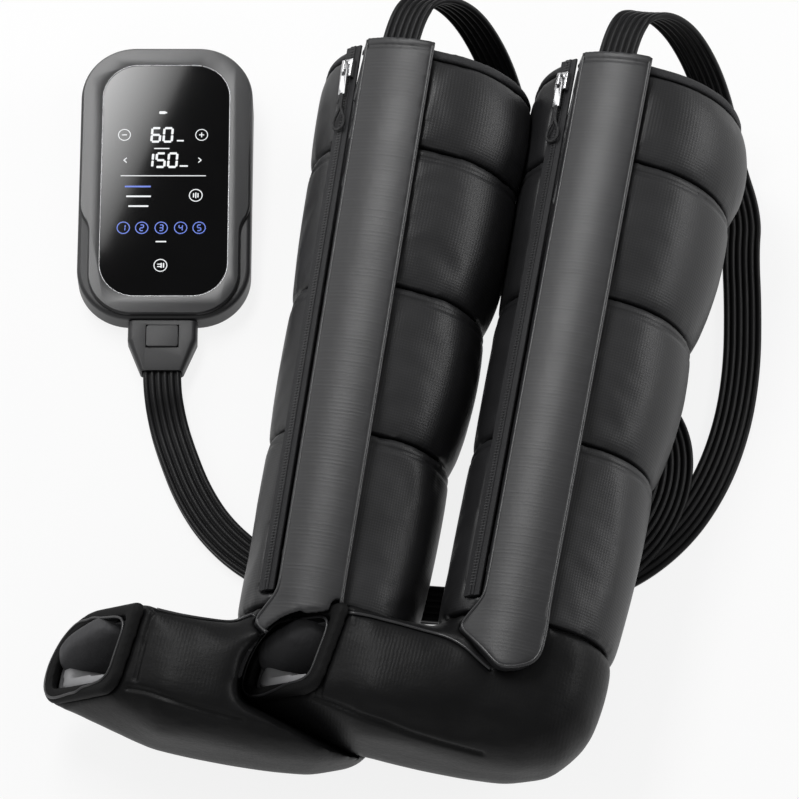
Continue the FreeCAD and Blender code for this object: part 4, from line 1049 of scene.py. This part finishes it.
def toe_cushion(side):
    """The soft upper lining that bulges down inside a toe opening, with gathers that run inwards."""
    middle, out, up = mouth_of(side)
    across = out.cross(up)
    arms = [vertex.co - middle for vertex in NODES[f"{side}_toe_binding"].data.vertices]
    flats = [arm - out * arm.dot(out) for arm in arms]
    rise = min(flat.length for flat in flats if flat.normalized().dot(up) > NEAR_AXIS)
    span = min(flat.length for flat in flats if abs(flat.normalized().dot(across)) > NEAR_AXIS)
    cushion = added(f"{side}_toe_cushion", bpy.ops.mesh.primitive_uv_sphere_add, segments=48, ring_count=32,
                    radius=1.0)
    half = rise * CUSHION_HEIGHT
    centre = middle - out * (CUSHION_SET_BACK * MM) + up * (rise - half * CUSHION_HANG)
    for vertex in cushion.data.vertices:
        x, y, z = vertex.co
        gather = math.sin(x * GATHER_COUNT + GATHER_SWAY * math.sin(y * GATHER_BENDS)) * GATHER_DEPTH * (1 - z * z)
        reach = math.copysign(abs(x) ** CUSHION_SQUARENESS, x) * CUSHION_WIDTH
        rise_share = math.copysign(abs(z) ** CUSHION_SQUARENESS, z)
        vertex.co = (centre + across * (reach * span) + out * (y * CUSHION_LENGTH * MM)
                     + up * ((rise_share + gather) * half))
    edit(cushion, (bpy.ops.mesh.normals_make_consistent, {"inside": False}))
    modify(cushion, "SUBSURF", levels=1, render_levels=1)
    soft(cushion)
    return cushion


class LEGMASSAGER_OT_linings(bpy.types.Operator):
    """Makes the linings and insoles"""
    bl_idname = "legmassager.linings"
    bl_label = "Linings"

    def execute(self, context):
        for side in BOOTS:
            for part in ("leg", "foot"):
                node = f"{side}_{part}_liner"
                piece = node_copy(f"{side}_{part}_lining", node)
                if node in GIVING_NODES:
                    give_way(piece)
                smooth(piece, LINING_ANGLE)
                dress(piece, ROOT, "liner_fabric", "lining_cloth", node)
            dress(toe_cushion(side), ROOT, "liner_fabric", "lining_cloth")
            node = f"{side}_insole"
            piece = node_copy(f"{side}_insole_pad", node)
            even(piece, INSOLE_VOXEL * MM, INSOLE_ROUNDS)
            soft(piece)
            dress(piece, ROOT, "insole_fabric", "insole_cloth", node)
        return {"FINISHED"}


def panel_spot(side, reach, height, sink=0.0):
    """A point on the outer face of a boot's panel."""
    low, top = STRIP_RADII
    radius = low + (top - low) * (height - STRIP_TIP) / (STRIP_TOP - STRIP_TIP) - sink
    return BOOTS[side] @ Vector((reach, math.sqrt(radius * radius - reach * reach), height))


def panel_edge(ends, height):
    """How far toward the toe a panel's long edge lies at a height."""
    low, top = ends
    return low + (top - low) * (height - STRIP_TIP) / (STRIP_TOP - STRIP_TIP)


# The panel's lower end, from the back edge round the heel and tip to the shoulder, as reach and height
PANEL_END = ((-5.4, 110), (-5.8, 97), (-5.4, 84), (-1.5, 75), (6, 70), (14, 67), (22, 66), (28, 69.5), (36, 77),
             (47, 87), (55.5, 95), (56.5, 100), (52, 109), (47, 118), (45, 127))
PANEL_VOXEL = 1.8
PANEL_ROUNDS = 8
PANEL_HEM = 8.0
PANEL_HEM_STEPS = 60
PANEL_HEM_PRESS = (1.2 * MM, 1.6 * MM)
PANEL_TOP = STRIP_TOP - 2
PANEL_STEP = 24.0
PANEL_ROWS = 21
PANEL_BACK_INSET = 1.2
PANEL_FRONT_INSET = 1.4
PANEL_PIPING = 1.7
PIPING_SINK = 1.4
PIPING_STEPS = 10
LEAST_RUN = 4
EDGE_REACH = 3.5


class LEGMASSAGER_OT_hose_covers(bpy.types.Operator):
    """Makes the raised panels over the air tubes, with their hems and pipings"""
    bl_idname = "legmassager.hose_covers"
    bl_label = "Hose covers"

    def execute(self, context):
        for side in BOOTS:
            node = f"{side}_hose_cover"
            piece = node_copy(f"{side}_panel", node)
            if node in GIVING_NODES:
                give_way(piece)
            even(piece, PANEL_VOXEL * MM, PANEL_ROUNDS)
            hem = STRIP_TOP - PANEL_HEM
            back, front = panel_edge(STRIP_BACK, hem), panel_edge(STRIP_FRONT, hem)
            line = [panel_spot(side, back + (front - back) * step / PANEL_HEM_STEPS, hem)
                    for step in range(PANEL_HEM_STEPS + 1)]
            press_line(piece, line, *PANEL_HEM_PRESS)
            soft(piece)
            dress(piece, ROOT, "panel_fabric", "ribbed_fabric", node)
            heights = [PANEL_TOP - step * PANEL_STEP for step in range(PANEL_ROWS)]
            route = [(panel_edge(STRIP_BACK, height) + PANEL_BACK_INSET, height) for height in heights]
            route += PANEL_END
            route += [(panel_edge(STRIP_FRONT, height) - PANEL_FRONT_INSET, height)
                      for height in reversed(heights[:-1])]
            spots = [panel_spot(side, reach, height, PIPING_SINK) for reach, height in route]
            skin = tree_of(piece)
            runs = [[]]
            for place in spline_points(f"{side}_panel_line", spots, PIPING_STEPS):
                if skin.find_nearest(place, EDGE_REACH * MM)[0] is not None:
                    runs[-1].append(place)
                elif runs[-1]:
                    runs.append([])
            for index, run in enumerate(run for run in runs if len(run) > LEAST_RUN):
                trim = piping(f"{side}_panel_piping_{index + 1}", run, PANEL_PIPING * MM)
                dress(trim, ROOT, "panel_fabric", "smooth_piping")
        return {"FINISHED"}


TAPE_EDGE = 0.3
SLIDER_EDGE = 0.6
PULL_EDGE = 0.35
TOOTH_SIZE = (5.2, 1.3, 1.3)
TOOTH_EDGE = 0.3
TOOTH_START = (0, 0.6, 2)
TOOTH_PITCH = 2.5
ZIP_LENGTH = 470.0
HINGE_DROP = 24.2
HINGE_LEVEL = 6.35
PULL_DROOP = 3.4
PULL_LENGTH = 22.0

# The pull's cord, as reach across and down from the end of the metal tab, in millimetres
CORD_LINE = ((0.75, -1), (0.8, 6), (0.7, 11), (2.2, 15.5), (6.1, 22), (6.0, 29), (0.0, 32), (-6.0, 29), (-6.1, 22),
             (-2.2, 15.5), (-0.7, 11), (-0.8, 6), (-0.75, -1))
CORD_RADIUS = 1.25
CORD_STEPS = 8


def zip_frame(side):
    """Hinge of a pull and the directions across, out of and down its zipper."""
    joints = {joint["name"]: joint for joint in frame["joints"]}
    hinge = Vector(joints[f"{side}_pull_swing"]["pos_m"])
    across = -Vector(joints[f"{side}_pull_swing"]["axis"]).normalized()
    down = Vector(joints[f"{side}_zip_slide"]["axis"]).normalized()
    return hinge, across, down.cross(across).normalized(), down


class LEGMASSAGER_OT_zippers(bpy.types.Operator):
    """Makes the zippers with their teeth, sliders and pulls"""
    bl_idname = "legmassager.zippers"
    bl_label = "Zippers"

    def execute(self, context):
        for side in BOOTS:
            for edge in ("front", "side"):
                node = f"{side}_zipper_tape_{edge}"
                piece = bevelled(f"{side}_zip_{edge}", TAPE_EDGE * MM, 2, node)
                dress(piece, ROOT, "zipper_tape", "woven_tape", node)
            slider = bevelled(f"{side}_slider_body", SLIDER_EDGE * MM, 3, f"{side}_zipper_slider")
            dress(slider, f"{side}_slider", "bright_metal", "plated_metal", f"{side}_zipper_slider")
            tab = bevelled(f"{side}_pull_tab", PULL_EDGE * MM, 3, f"{side}_zipper_pull")
            dress(tab, f"{side}_pull", "bright_metal", "plated_metal", f"{side}_zipper_pull")

            hinge, across, out, down = zip_frame(side)
            start = hinge - out * (HINGE_LEVEL * MM) - down * (HINGE_DROP * MM)
            teeth = added(f"{side}_zip_teeth", bpy.ops.mesh.primitive_cube_add, size=1.0)
            teeth.data.transform(Matrix.Diagonal((*TOOTH_SIZE, 1)))
            edit(teeth, (bpy.ops.mesh.bevel, {"offset": TOOTH_EDGE, "segments": 1}))
            teeth.data.transform(Matrix.Translation(TOOTH_START))
            modify(teeth, "ARRAY", count=int(ZIP_LENGTH / TOOTH_PITCH), use_relative_offset=False,
                   use_constant_offset=True, constant_offset_displace=(0, 0, TOOTH_PITCH))
            axes = Matrix((across * MM, out * MM, down * MM)).transposed().to_4x4()
            teeth.data.transform(Matrix.Translation(start) @ axes)
            edit(teeth, (bpy.ops.mesh.normals_make_consistent, {"inside": False}))
            dress(teeth, ROOT, "zipper_tape", "smooth_piping")

            droop = math.radians(PULL_DROOP)
            hang = down * math.cos(droop) - out * math.sin(droop)
            end = hinge + hang * (PULL_LENGTH * MM)
            spots = [end + (across * x + hang * y) * MM for x, y in CORD_LINE]
            line = spline_points(f"{side}_cord_line", spots, CORD_STEPS)
            loop = piping(f"{side}_pull_loop", line, CORD_RADIUS * MM)
            dress(loop, f"{side}_pull", "braided_cord", "braided_cord", f"{side}_pull_cord")
        return {"FINISHED"}


# Routes of the hoses over the floor, in shares of LAYOUT, and how far a point keeps the hose's lift
SHARED_ROUTE = ((-0.397, -0.136), (-0.355, -0.212), (-0.288, -0.315), (-0.206, -0.400), (-0.097, -0.464),
                (0.042, -0.494), (0.200, -0.497), (0.358, -0.479))
OWN_ROUTES = {
    "right": ((0.515, -0.442, 0), (0.673, -0.376, 0), (0.812, -0.285, 0), (0.912, -0.158, 0), (0.970, -0.006, 0),
              (0.994, 0.158, 0), (0.988, 0.327, 0), (0.958, 0.503, 0), (0.924, 0.652, 0), (0.912, 0.760, 0)),
    "left": ((0.503, -0.455, 1), (0.645, -0.397, 1), (0.770, -0.306, 1), (0.852, -0.182, 1), (0.882, -0.042, 1),
             (0.858, 0.094, 0.8), (0.776, 0.188, 0.2), (0.652, 0.230, 0), (0.518, 0.258, 0), (0.412, 0.352, 0),
             (0.370, 0.498, 0), (0.376, 0.655, 0)),
}

# The loop up over a boot's mouth, in shares of RIM_HEIGHT from the top of its panel
LOOP_ROUTE = ((0.167, 0.012, -0.265), (0.143, 0.050, -0.190), (0.109, 0.080, -0.115), (0.068, 0.094, -0.049),
              (0.027, 0.081, -0.005), (0.000, 0.048, 0.007))
LAYOUT = 330.0
HOSE_LEVEL = 2.75
HOSE_LIFTS = {"right": -HOSE_LEVEL, "left": HOSE_LEVEL}
SOCKET_LEVEL = 12.8
PLUG_ENDS = (34.5, 58.5)
HOSE_STEPS = 12
TUBE_STEPS = 8
WEB_SHARE = 0.42
HOSE_GAP = 2.95
HOSE_TUCK = 13.5


def hose_route(side):
    """Control points of one hose in metres, and how far each one follows its boot's panel."""
    lift = HOSE_LIFTS[side]
    points = [CASE @ Vector((0, -CASE_HALF_LENGTH - ahead, SOCKET_LEVEL + lift)) for ahead in PLUG_ENDS]
    drop = lift + HOSE_LEVEL
    for x, y in SHARED_ROUTE:
        points.append((Vector((x * LAYOUT, y * LAYOUT, HOSE_LEVEL + drop)) + SHIFT) * MM)
    for x, y, stay in OWN_ROUTES[side]:
        points.append((Vector((x * LAYOUT, y * LAYOUT, HOSE_LEVEL + drop * stay)) + SHIFT) * MM)
    weights = [0.0] * len(points)
    radius = STRIP_RADII[1] - STRIP_DEPTH + HOSE_GAP
    reach = (STRIP_FRONT[1] + STRIP_BACK[1]) / 2
    near = math.sqrt(radius * radius - reach * reach)
    strip_top = BOOTS[side] @ Vector((reach, near, STRIP_TOP))
    for share in LOOP_ROUTE:
        points.append(strip_top + Vector(share) * (RIM_HEIGHT * MM))
        weights.append(1.0)
    points.append(BOOTS[side] @ Vector((reach, near, STRIP_TOP - HOSE_TUCK)))
    weights.append(1.0)
    across = (BOOTS[side].to_3x3() @ Vector((near, -reach, 0))).normalized()
    return points, weights, across


def ribbon_section(tubes, width, height):
    """Outline of tubes side by side, joined by thin webs."""
    pitch = width / tubes
    radius = pitch / 2
    top = []
    for index in range(tubes):
        middle = -width / 2 + pitch * (index + 0.5)
        for step in range(1, TUBE_STEPS):
            angle = math.pi * (1 - step / TUBE_STEPS)
            top.append((middle + radius * math.cos(angle), height / 2 * max(WEB_SHARE, math.sin(angle))))
    bottom = [(x, -y) for x, y in reversed(top)]
    return top + bottom


class LEGMASSAGER_OT_hoses(bpy.types.Operator):
    """Makes the two ribbon hoses"""
    bl_idname = "legmassager.hoses"
    bl_label = "Hoses"

    def execute(self, context):
        looks = context.scene.hose_looks
        section = ribbon_section(looks.tubes, looks.width, looks.height)
        count = len(section)
        for side in BOOTS:
            points, weights, across = hose_route(side)
            path = spline_points(f"{side}_route", points, HOSE_STEPS)
            run = [0.0]
            for before, after in zip(path, path[1:]):
                run.append(run[-1] + (after - before).length)
            last_floor = next(index for index, weight in enumerate(weights) if weight > 0) - 1
            turn_at = min(range(len(path)), key=lambda index: (path[index] - points[last_floor]).length)
            turn_to = min(range(len(path)), key=lambda index: (path[index] - points[last_floor + 2]).length)
            piece = added(f"{side}_ribbon", bpy.ops.mesh.primitive_grid_add, x_subdivisions=count,
                          y_subdivisions=len(path) - 1, size=1.0)
            row_length = count + 1
            order = sorted(piece.data.vertices, key=lambda vertex: (round(vertex.co.y, 6), round(vertex.co.x, 6)))
            for row, place in enumerate(path):
                ahead = path[min(row + 1, len(path) - 1)] - path[max(row - 1, 0)]
                ahead.normalize()
                blend = (run[row] - run[turn_at]) / (run[turn_to] - run[turn_at])
                blend = min(1.0, max(0.0, blend))
                width = UP.cross(ahead).normalized() * (1 - blend) + across * blend
                width = (width - ahead * width.dot(ahead)).normalized()
                rise = ahead.cross(width)
                for column in range(row_length):
                    x, z = section[column % count]
                    order[row * row_length + column].co = place + width * x + rise * z
            edit(piece, (bpy.ops.mesh.remove_doubles, {"threshold": FINE_MERGE_GAP}),
                 (bpy.ops.mesh.select_all, {"action": "DESELECT"}),
                 (bpy.ops.mesh.select_non_manifold, {}),
                 (bpy.ops.mesh.edge_face_add, {}),
                 (bpy.ops.mesh.select_all, {"action": "SELECT"}),
                 (bpy.ops.mesh.normals_make_consistent, {"inside": False}))
            soft(piece)
            dress(piece, ROOT, "hose_rubber", "hose_rubber", f"{side}_hose")
        return {"FINISHED"}


# Edge radii of the controller's pieces and the bright line round the glass, in millimetres
BEZEL_EDGE = 0.7
GLASS_EDGE = 0.5
GLASS_ANGLE = 12.0
LATCH_EDGE = 0.6
PLUG_EDGE = 0.7
LINE_RADIUS = 0.8
LINE_SINK = 0.35
GLASS_TOP_GAP = 0.05

# Finishes of the CAD nodes that stay
NODE_FINISHES = {
    "rear_cover": "moulded_case", "display_module": "inner_plastic", "main_board": "circuit_board",
    "pump_motor": "plain_metal", "pump_head": "inner_plastic", "valve_manifold": "inner_plastic",
    "solenoid_valves": "plain_metal", "battery_pack": "battery_wrap", "air_socket": "inner_plastic",
    "charge_inlet": "plain_metal", "case_screws": "plain_metal", "rubber_feet": "soft_rubber",
    "nozzle_block": "inner_plastic", "plug_gasket": "soft_rubber", "latch_spring": "plain_metal",
    "right_chamber_tubes": "hose_rubber",
}


class LEGMASSAGER_OT_case(bpy.types.Operator):
    """Dresses the controller's case, bezel, glass and plug"""
    bl_idname = "legmassager.case"
    bl_label = "Case"

    def execute(self, context):
        bezel = bevelled("bezel_ring", BEZEL_EDGE * MM, 3, "front_bezel")
        dress(bezel, "controller", "bezel_plastic", "satin_bezel", "front_bezel")
        glass = bevelled("glass_plate", GLASS_EDGE * MM, 3, "touch_glass")
        smooth(glass, GLASS_ANGLE)
        dress(glass, "controller", "screen_glass", "black_glass", "touch_glass")
        back = FACE.inverted()
        spots = [back @ vertex.co for vertex in NODES["touch_glass"].data.vertices]
        level = max(spot.z for spot in spots)
        outline = {(round(spot.x, 2), round(spot.y, 2)) for spot in spots if spot.z > level - GLASS_TOP_GAP}
        corners = sorted(outline, key=lambda spot: math.atan2(*spot))
        loop = [FACE @ Vector((x, y, level - LINE_SINK)) for x, y in corners]
        line = piping("glass_line", loop, LINE_RADIUS * MM, closed=True)
        dress(line, "controller", "bezel_plastic", "bright_line")
        key = bevelled("latch_key", LATCH_EDGE * MM, 3, "plug_latch")
        dress(key, "latch", "plug_plastic", "plug_plastic", "plug_latch")
        body = bevelled("plug_shell", PLUG_EDGE * MM, 3, "plug_body")
        dress(body, ROOT, "plug_plastic", "plug_plastic", "plug_body")
        tubes = node_copy("left_air_tubes", "left_chamber_tubes")
        give_way(tubes)
        smooth(tubes, EDGE_ANGLE)
        dress(tubes, ROOT, "hose_rubber", "hose_rubber", "left_chamber_tubes")
        for node, finish in NODE_FINISHES.items():
            mesh = NODES[node].data
            mesh.materials.clear()
            mesh.materials.append(finish_of(finish))
        return {"FINISHED"}


SIGN_LEVEL = 3.76
SIGN_SLANT = 0.06

# The pixel of the photo at the screen's middle, and pixels for each millimetre across and along it
SCREEN_MIDDLE = (164, 176)
SCREEN_SCALE = (1.222, 1.113)
SIGN_PIXELS = {
    "sign_battery": (160, 107), "sign_minus": (121, 130), "sign_plus": (201, 130), "sign_level": (160, 130),
    "sign_level_unit": (179, 136), "sign_level_line": (160, 144), "sign_time": (159, 156),
    "sign_time_unit": (183, 162), "sign_less": (121, 156), "sign_more": (201, 156), "sign_rule": (162, 172),
    "sign_list_top": (136, 183), "sign_list_middle": (137, 193), "sign_list_low": (137, 203),
    "sign_mode": (196, 192), "sign_zone_1": (122, 225), "sign_zone_2": (141, 225), "sign_zone_3": (161, 225),
    "sign_zone_4": (181, 225), "sign_zone_5": (200, 225), "sign_zone_bar": (161, 239), "sign_play": (161, 263),
}
ZONE_COUNT = 5
BAR_CLIP = 0.3
DIGIT_WIDTH = 0.56
DIGIT_GAP = 1.6
SEGMENT_GAP = 0.4


def lay_on_glass(piece, px, py):
    """Moves a flat sign from the screen's own millimetres to just above the glass, at a pixel of the photo."""
    x = (px - SCREEN_MIDDLE[0]) / SCREEN_SCALE[0]
    y = (SCREEN_MIDDLE[1] - py) / SCREEN_SCALE[1]
    piece.data.transform(FACE @ Matrix.Translation((x, y, SIGN_LEVEL)))


def bar_sign(width, height, x=0.0, y=0.0, slant=0.0):
    """A flat bar with slightly clipped corners, in millimetres."""
    bar = added("bar", bpy.ops.mesh.primitive_plane_add, size=1.0)
    bar.data.transform(Matrix.Diagonal((width, height, 1, 1)))
    leaning = Matrix(((1, slant, 0, 0), (0, 1, 0, 0), (0, 0, 1, 0), (0, 0, 0, 1)))
    bar.data.transform(Matrix.Translation((x + slant * y, y, 0)) @ leaning)
    edit(bar, (bpy.ops.mesh.bevel, {"offset": min(width, height) * BAR_CLIP, "affect": "VERTICES", "segments": 2}))
    return bar


def ring_sign(radius, line):
    """A thin flat ring, in millimetres."""
    ring = added("ring", bpy.ops.mesh.primitive_circle_add, vertices=40, radius=radius, fill_type="NOTHING")
    edit(ring, (bpy.ops.mesh.extrude_region_move, {}),
         (bpy.ops.transform.resize, {"value": ((radius - line) / radius,) * 3}))
    return ring


def join(name, parts):
    """Joins flat parts into one sign."""
    pick(*parts)
    if len(parts) > 1:
        bpy.ops.object.join()
    parts[0].name = name
    return parts[0]


SEGMENTS = {
    "0": "abcdef", "1": "bc", "2": "abged", "3": "abgcd", "4": "fgbc", "5": "afgcd", "6": "afgecd", "7": "abc",
    "8": "abcdefg", "9": "abcfgd",
}


def digit_parts(text, height, line):
    """Seven-segment digits, in millimetres, centred on the whole text."""
    width = height * DIGIT_WIDTH
    step = width + line * DIGIT_GAP
    parts = []
    for place, figure in enumerate(text):
        shift = (place - (len(text) - 1) / 2) * step
        half = height / 2
        spots = {
            "a": (0, half, True), "d": (0, -half, True), "g": (0, 0, True), "b": (width / 2, half / 2, False),
            "c": (width / 2, -half / 2, False), "e": (-width / 2, -half / 2, False),
            "f": (-width / 2, half / 2, False),
        }
        for key in SEGMENTS[figure]:
            x, y, flat = spots[key]
            long = (width if flat else half) - line * SEGMENT_GAP
            size = (long, line) if flat else (line, long)
            parts.append(bar_sign(*size, x + shift, y, SIGN_SLANT))
    return parts


class LEGMASSAGER_OT_screen(bpy.types.Operator):
    """Makes the lit signs on the screen"""
    bl_idname = "legmassager.screen"
    bl_label = "Screen"

    def execute(self, context):
        def sign(name, parts, finish="sign_white"):
            piece = join(name, parts)
            edit(piece, (bpy.ops.mesh.normals_make_consistent, {"inside": False}))
            lay_on_glass(piece, *SIGN_PIXELS[name])
            dress(piece, "controller", "display", finish)

        def turned(bar, angle):
            bar.data.transform(Matrix.Rotation(math.radians(angle), 4, "Z"))
            return bar

        sign("sign_battery", [bar_sign(5.6, 2.6), bar_sign(1.0, 1.4, 3.4)])
        sign("sign_minus", [ring_sign(5.4, 0.7), bar_sign(4.4, 0.9)])
        sign("sign_plus", [ring_sign(5.4, 0.7), bar_sign(4.4, 0.9), bar_sign(0.9, 4.4)])
        sign("sign_level", digit_parts("60", 12.5, 2.0))
        sign("sign_level_unit", [bar_sign(6.0, 1.4)])
        sign("sign_level_line", [bar_sign(13.0, 1.0)])
        sign("sign_time", digit_parts("150", 12.5, 2.0))
        sign("sign_time_unit", [bar_sign(7.0, 1.4)])
        for name, way in (("sign_less", 1), ("sign_more", -1)):
            arms = [turned(bar_sign(3.6, 0.9, 1.5 * way, 0), angle) for angle in (42, -42)]
            sign(name, arms)
        sign("sign_rule", [bar_sign(72.0, 0.8)])
        sign("sign_list_top", [bar_sign(22.0, 1.5)], "sign_blue")
        sign("sign_list_middle", [bar_sign(21.0, 1.5)])
        sign("sign_list_low", [bar_sign(17.0, 1.5)])
        bars = [bar_sign(1.0, 4.0, -1.9), bar_sign(1.0, 5.2), bar_sign(1.0, 4.0, 1.9)]
        sign("sign_mode", [ring_sign(5.8, 0.8)] + bars)
        for zone in range(1, ZONE_COUNT + 1):
            figures = digit_parts(str(zone), 5.2, 0.9)
            sign(f"sign_zone_{zone}", [ring_sign(5.6, 0.8)] + figures, "sign_blue")
        sign("sign_zone_bar", [bar_sign(9.0, 1.2)])
        bars = [bar_sign(1.1, 4.4, 0.6), bar_sign(1.1, 4.4, 2.6), bar_sign(3.2, 0.9, -1.2, 1.1),
                bar_sign(3.2, 0.9, -1.2, -1.1)]
        sign("sign_play", [ring_sign(5.8, 0.8)] + bars)
        return {"FINISHED"}


# The corners of the card that the glass mirrors, at the pixels where they show, and its glow there
GLEAM_PIXELS = ((88, 250), (104, 250), (88, 48), (196, 48))
GLEAM_LEVELS = (0.22, 0.10, 1.0, 0.12)
GLEAM_REACH = 2.2
GLEAM_LEVEL = 3.8
FLOOR_SIZE = 40.0
FLOOR_SINK = 0.0004
FLOOR_WHITE = 0.85
VIEW_DEPTH = 100.0

# Each lamp's direction, distance, size, setting and share of it
LAMPS = {
    "key_light": ((-0.34, 0.42, 0.84), 2.6, (0.7, 1.8), "key", 1.0),
    "side_light": ((0.79, 0.42, 0.43), 2.4, (0.5, 1.8), "side", 1.0),
    "left_light": ((-0.85, 0.3, 0.43), 2.4, (1.2, 1.8), "fill", 1.0),
    "front_light": ((0.0, -0.8, 0.6), 2.4, (1.8, 0.8), "fill", 0.35),
}


class LEGMASSAGER_OT_stage(bpy.types.Operator):
    """Sets the floor, the lights and the camera"""
    bl_idname = "legmassager.stage"
    bl_label = "Stage"

    def execute(self, context):
        looks = context.scene.stage_looks
        floor = added("floor", bpy.ops.mesh.primitive_plane_add, size=FLOOR_SIZE, location=(0, 0, 0))
        floor.data.transform(Matrix.Translation((0, 0, -FLOOR_SINK)))
        finish = Finish("pale_floor")
        finish.surface(Base_Color=looks.floor, Roughness=0.9, Specular_IOR_Level=0.1)
        rays = finish.node("ShaderNodeLightPath", output="Is Camera Ray")
        gloss = finish.node("ShaderNodeLightPath", output="Is Glossy Ray")
        clear = finish.node("ShaderNodeLightPath", output="Is Transmission Ray")
        white = finish.node("ShaderNodeEmission", {}, {0: (1.0, 1.0, 1.0), 1: 1.0})
        seen = (rays + gloss + clear).clamp() * FLOOR_WHITE
        plain = Socket(finish, finish.shader.outputs[0])
        mixed = finish.node("ShaderNodeMixShader", {}, {0: seen, 1: plain, 2: white})
        target = next(node for node in finish.tree.nodes if node.type == "OUTPUT_MATERIAL")
        finish.tree.links.new(mixed.output, target.inputs[0])
        floor.data.materials.append(finish.material)

        world = bpy.data.worlds.new("even_light")
        world.use_nodes = True
        back = next(node for node in world.node_tree.nodes if node.type == "BACKGROUND")
        back.inputs[0].default_value = (1.0, 1.0, 1.0, 1.0)
        back.inputs[1].default_value = looks.sky
        context.scene.world = world

        for name, (way, reach, size, setting, share) in LAMPS.items():
            z = Vector(way).normalized()
            x = Vector((0, 1, 0)).cross(z).normalized()
            light = added(name, bpy.ops.object.light_add, type="AREA")
            light.data.shape = "RECTANGLE"
            light.data.size, light.data.size_y = size
            light.data.energy = getattr(looks, setting) * share
            light.matrix_world = Matrix.Translation(z * reach) @ Matrix((x, z.cross(x), z)).transposed().to_4x4()

        up = FACE.to_3x3().col[2].normalized()
        level = FACE @ Vector((0, 0, GLEAM_LEVEL))
        corners = []
        for px, py in GLEAM_PIXELS:
            start, way = photo_ray(px, py)
            place = start + way * ((level - start).dot(up) / way.dot(up))
            corners.append(place + way.reflect(up) * GLEAM_REACH)
        card = added("gleam_card", bpy.ops.mesh.primitive_plane_add, size=1.0)
        for vertex, place in zip(card.data.vertices, corners):
            vertex.co = place
        glow = card.data.attributes.new("glow", "FLOAT_COLOR", "POINT")
        for spot, level in zip(glow.data, GLEAM_LEVELS):
            spot.color = (level, level, level, 1.0)
        finish = Finish("gleam")
        shine = finish.node("ShaderNodeAttribute", {"attribute_name": "glow"}, output="Color")
        finish.surface(Base_Color=(0.0, 0.0, 0.0), Emission_Color=shine, Emission_Strength=looks.gleam)
        card.data.materials.append(finish.material)
        card.visible_camera = card.visible_diffuse = card.visible_shadow = False

        camera = added("photo_camera", bpy.ops.object.camera_add)
        away = camera_way()
        camera.location = AIM + away * looks.distance
        camera.rotation_euler = away.to_track_quat("Z", "Y").to_euler()
        camera.data.sensor_width = SENSOR
        camera.data.lens = LENS
        camera.data.clip_end = VIEW_DEPTH
        context.scene.camera = camera
        context.scene.view_settings.view_transform = "Standard"
        return {"FINISHED"}


OPERATORS = (
    LEGMASSAGER_OT_leg_pads, LEGMASSAGER_OT_foot_pads, LEGMASSAGER_OT_bindings, LEGMASSAGER_OT_linings,
    LEGMASSAGER_OT_hose_covers, LEGMASSAGER_OT_zippers, LEGMASSAGER_OT_hoses, LEGMASSAGER_OT_case,
    LEGMASSAGER_OT_screen, LEGMASSAGER_OT_stage,
)


class LEGMASSAGER_PT_panel(bpy.types.Panel):
    """Lists the pieces of the leg massager"""
    bl_label = "Leg massager"
    bl_idname = "LEGMASSAGER_PT_panel"
    bl_space_type = "VIEW_3D"
    bl_region_type = "UI"
    bl_category = "Leg massager"

    def draw(self, context):
        for operator in OPERATORS:
            self.layout.operator(operator.bl_idname)
        for looks in (context.scene.boot_looks, context.scene.hose_looks, context.scene.controller_looks,
                      context.scene.stage_looks):
            box = self.layout.box()
            for key in looks.bl_rna.properties.keys():
                if key not in ("rna_type", "name"):
                    box.prop(looks, key)


GROUPS = {"boot_looks": BootLooks, "hose_looks": HoseLooks, "controller_looks": ControllerLooks,
          "stage_looks": StageLooks}


def register():
    """Adds the settings, the operators and the panel."""
    for key, group in GROUPS.items():
        bpy.utils.register_class(group)
        setattr(bpy.types.Scene, key, PointerProperty(type=group))
    for cls in (*OPERATORS, LEGMASSAGER_PT_panel):
        bpy.utils.register_class(cls)


def unregister():
    """Takes them away again."""
    for cls in reversed((*OPERATORS, LEGMASSAGER_PT_panel)):
        bpy.utils.unregister_class(cls)
    for key, group in reversed(GROUPS.items()):
        delattr(bpy.types.Scene, key)
        bpy.utils.unregister_class(group)


def main():
    """Makes the stage and the pieces."""
    register()
    bpy.ops.legmassager.stage()
    bpy.ops.legmassager.hoses()
    bpy.ops.legmassager.leg_pads()
    bpy.ops.legmassager.foot_pads()
    bpy.ops.legmassager.bindings()
    bpy.ops.legmassager.linings()
    bpy.ops.legmassager.hose_covers()
    bpy.ops.legmassager.zippers()
    bpy.ops.legmassager.case()
    bpy.ops.legmassager.screen()
    bpy.ops.object.select_all(action="DESELECT")


if __name__ == "__main__":
    main()
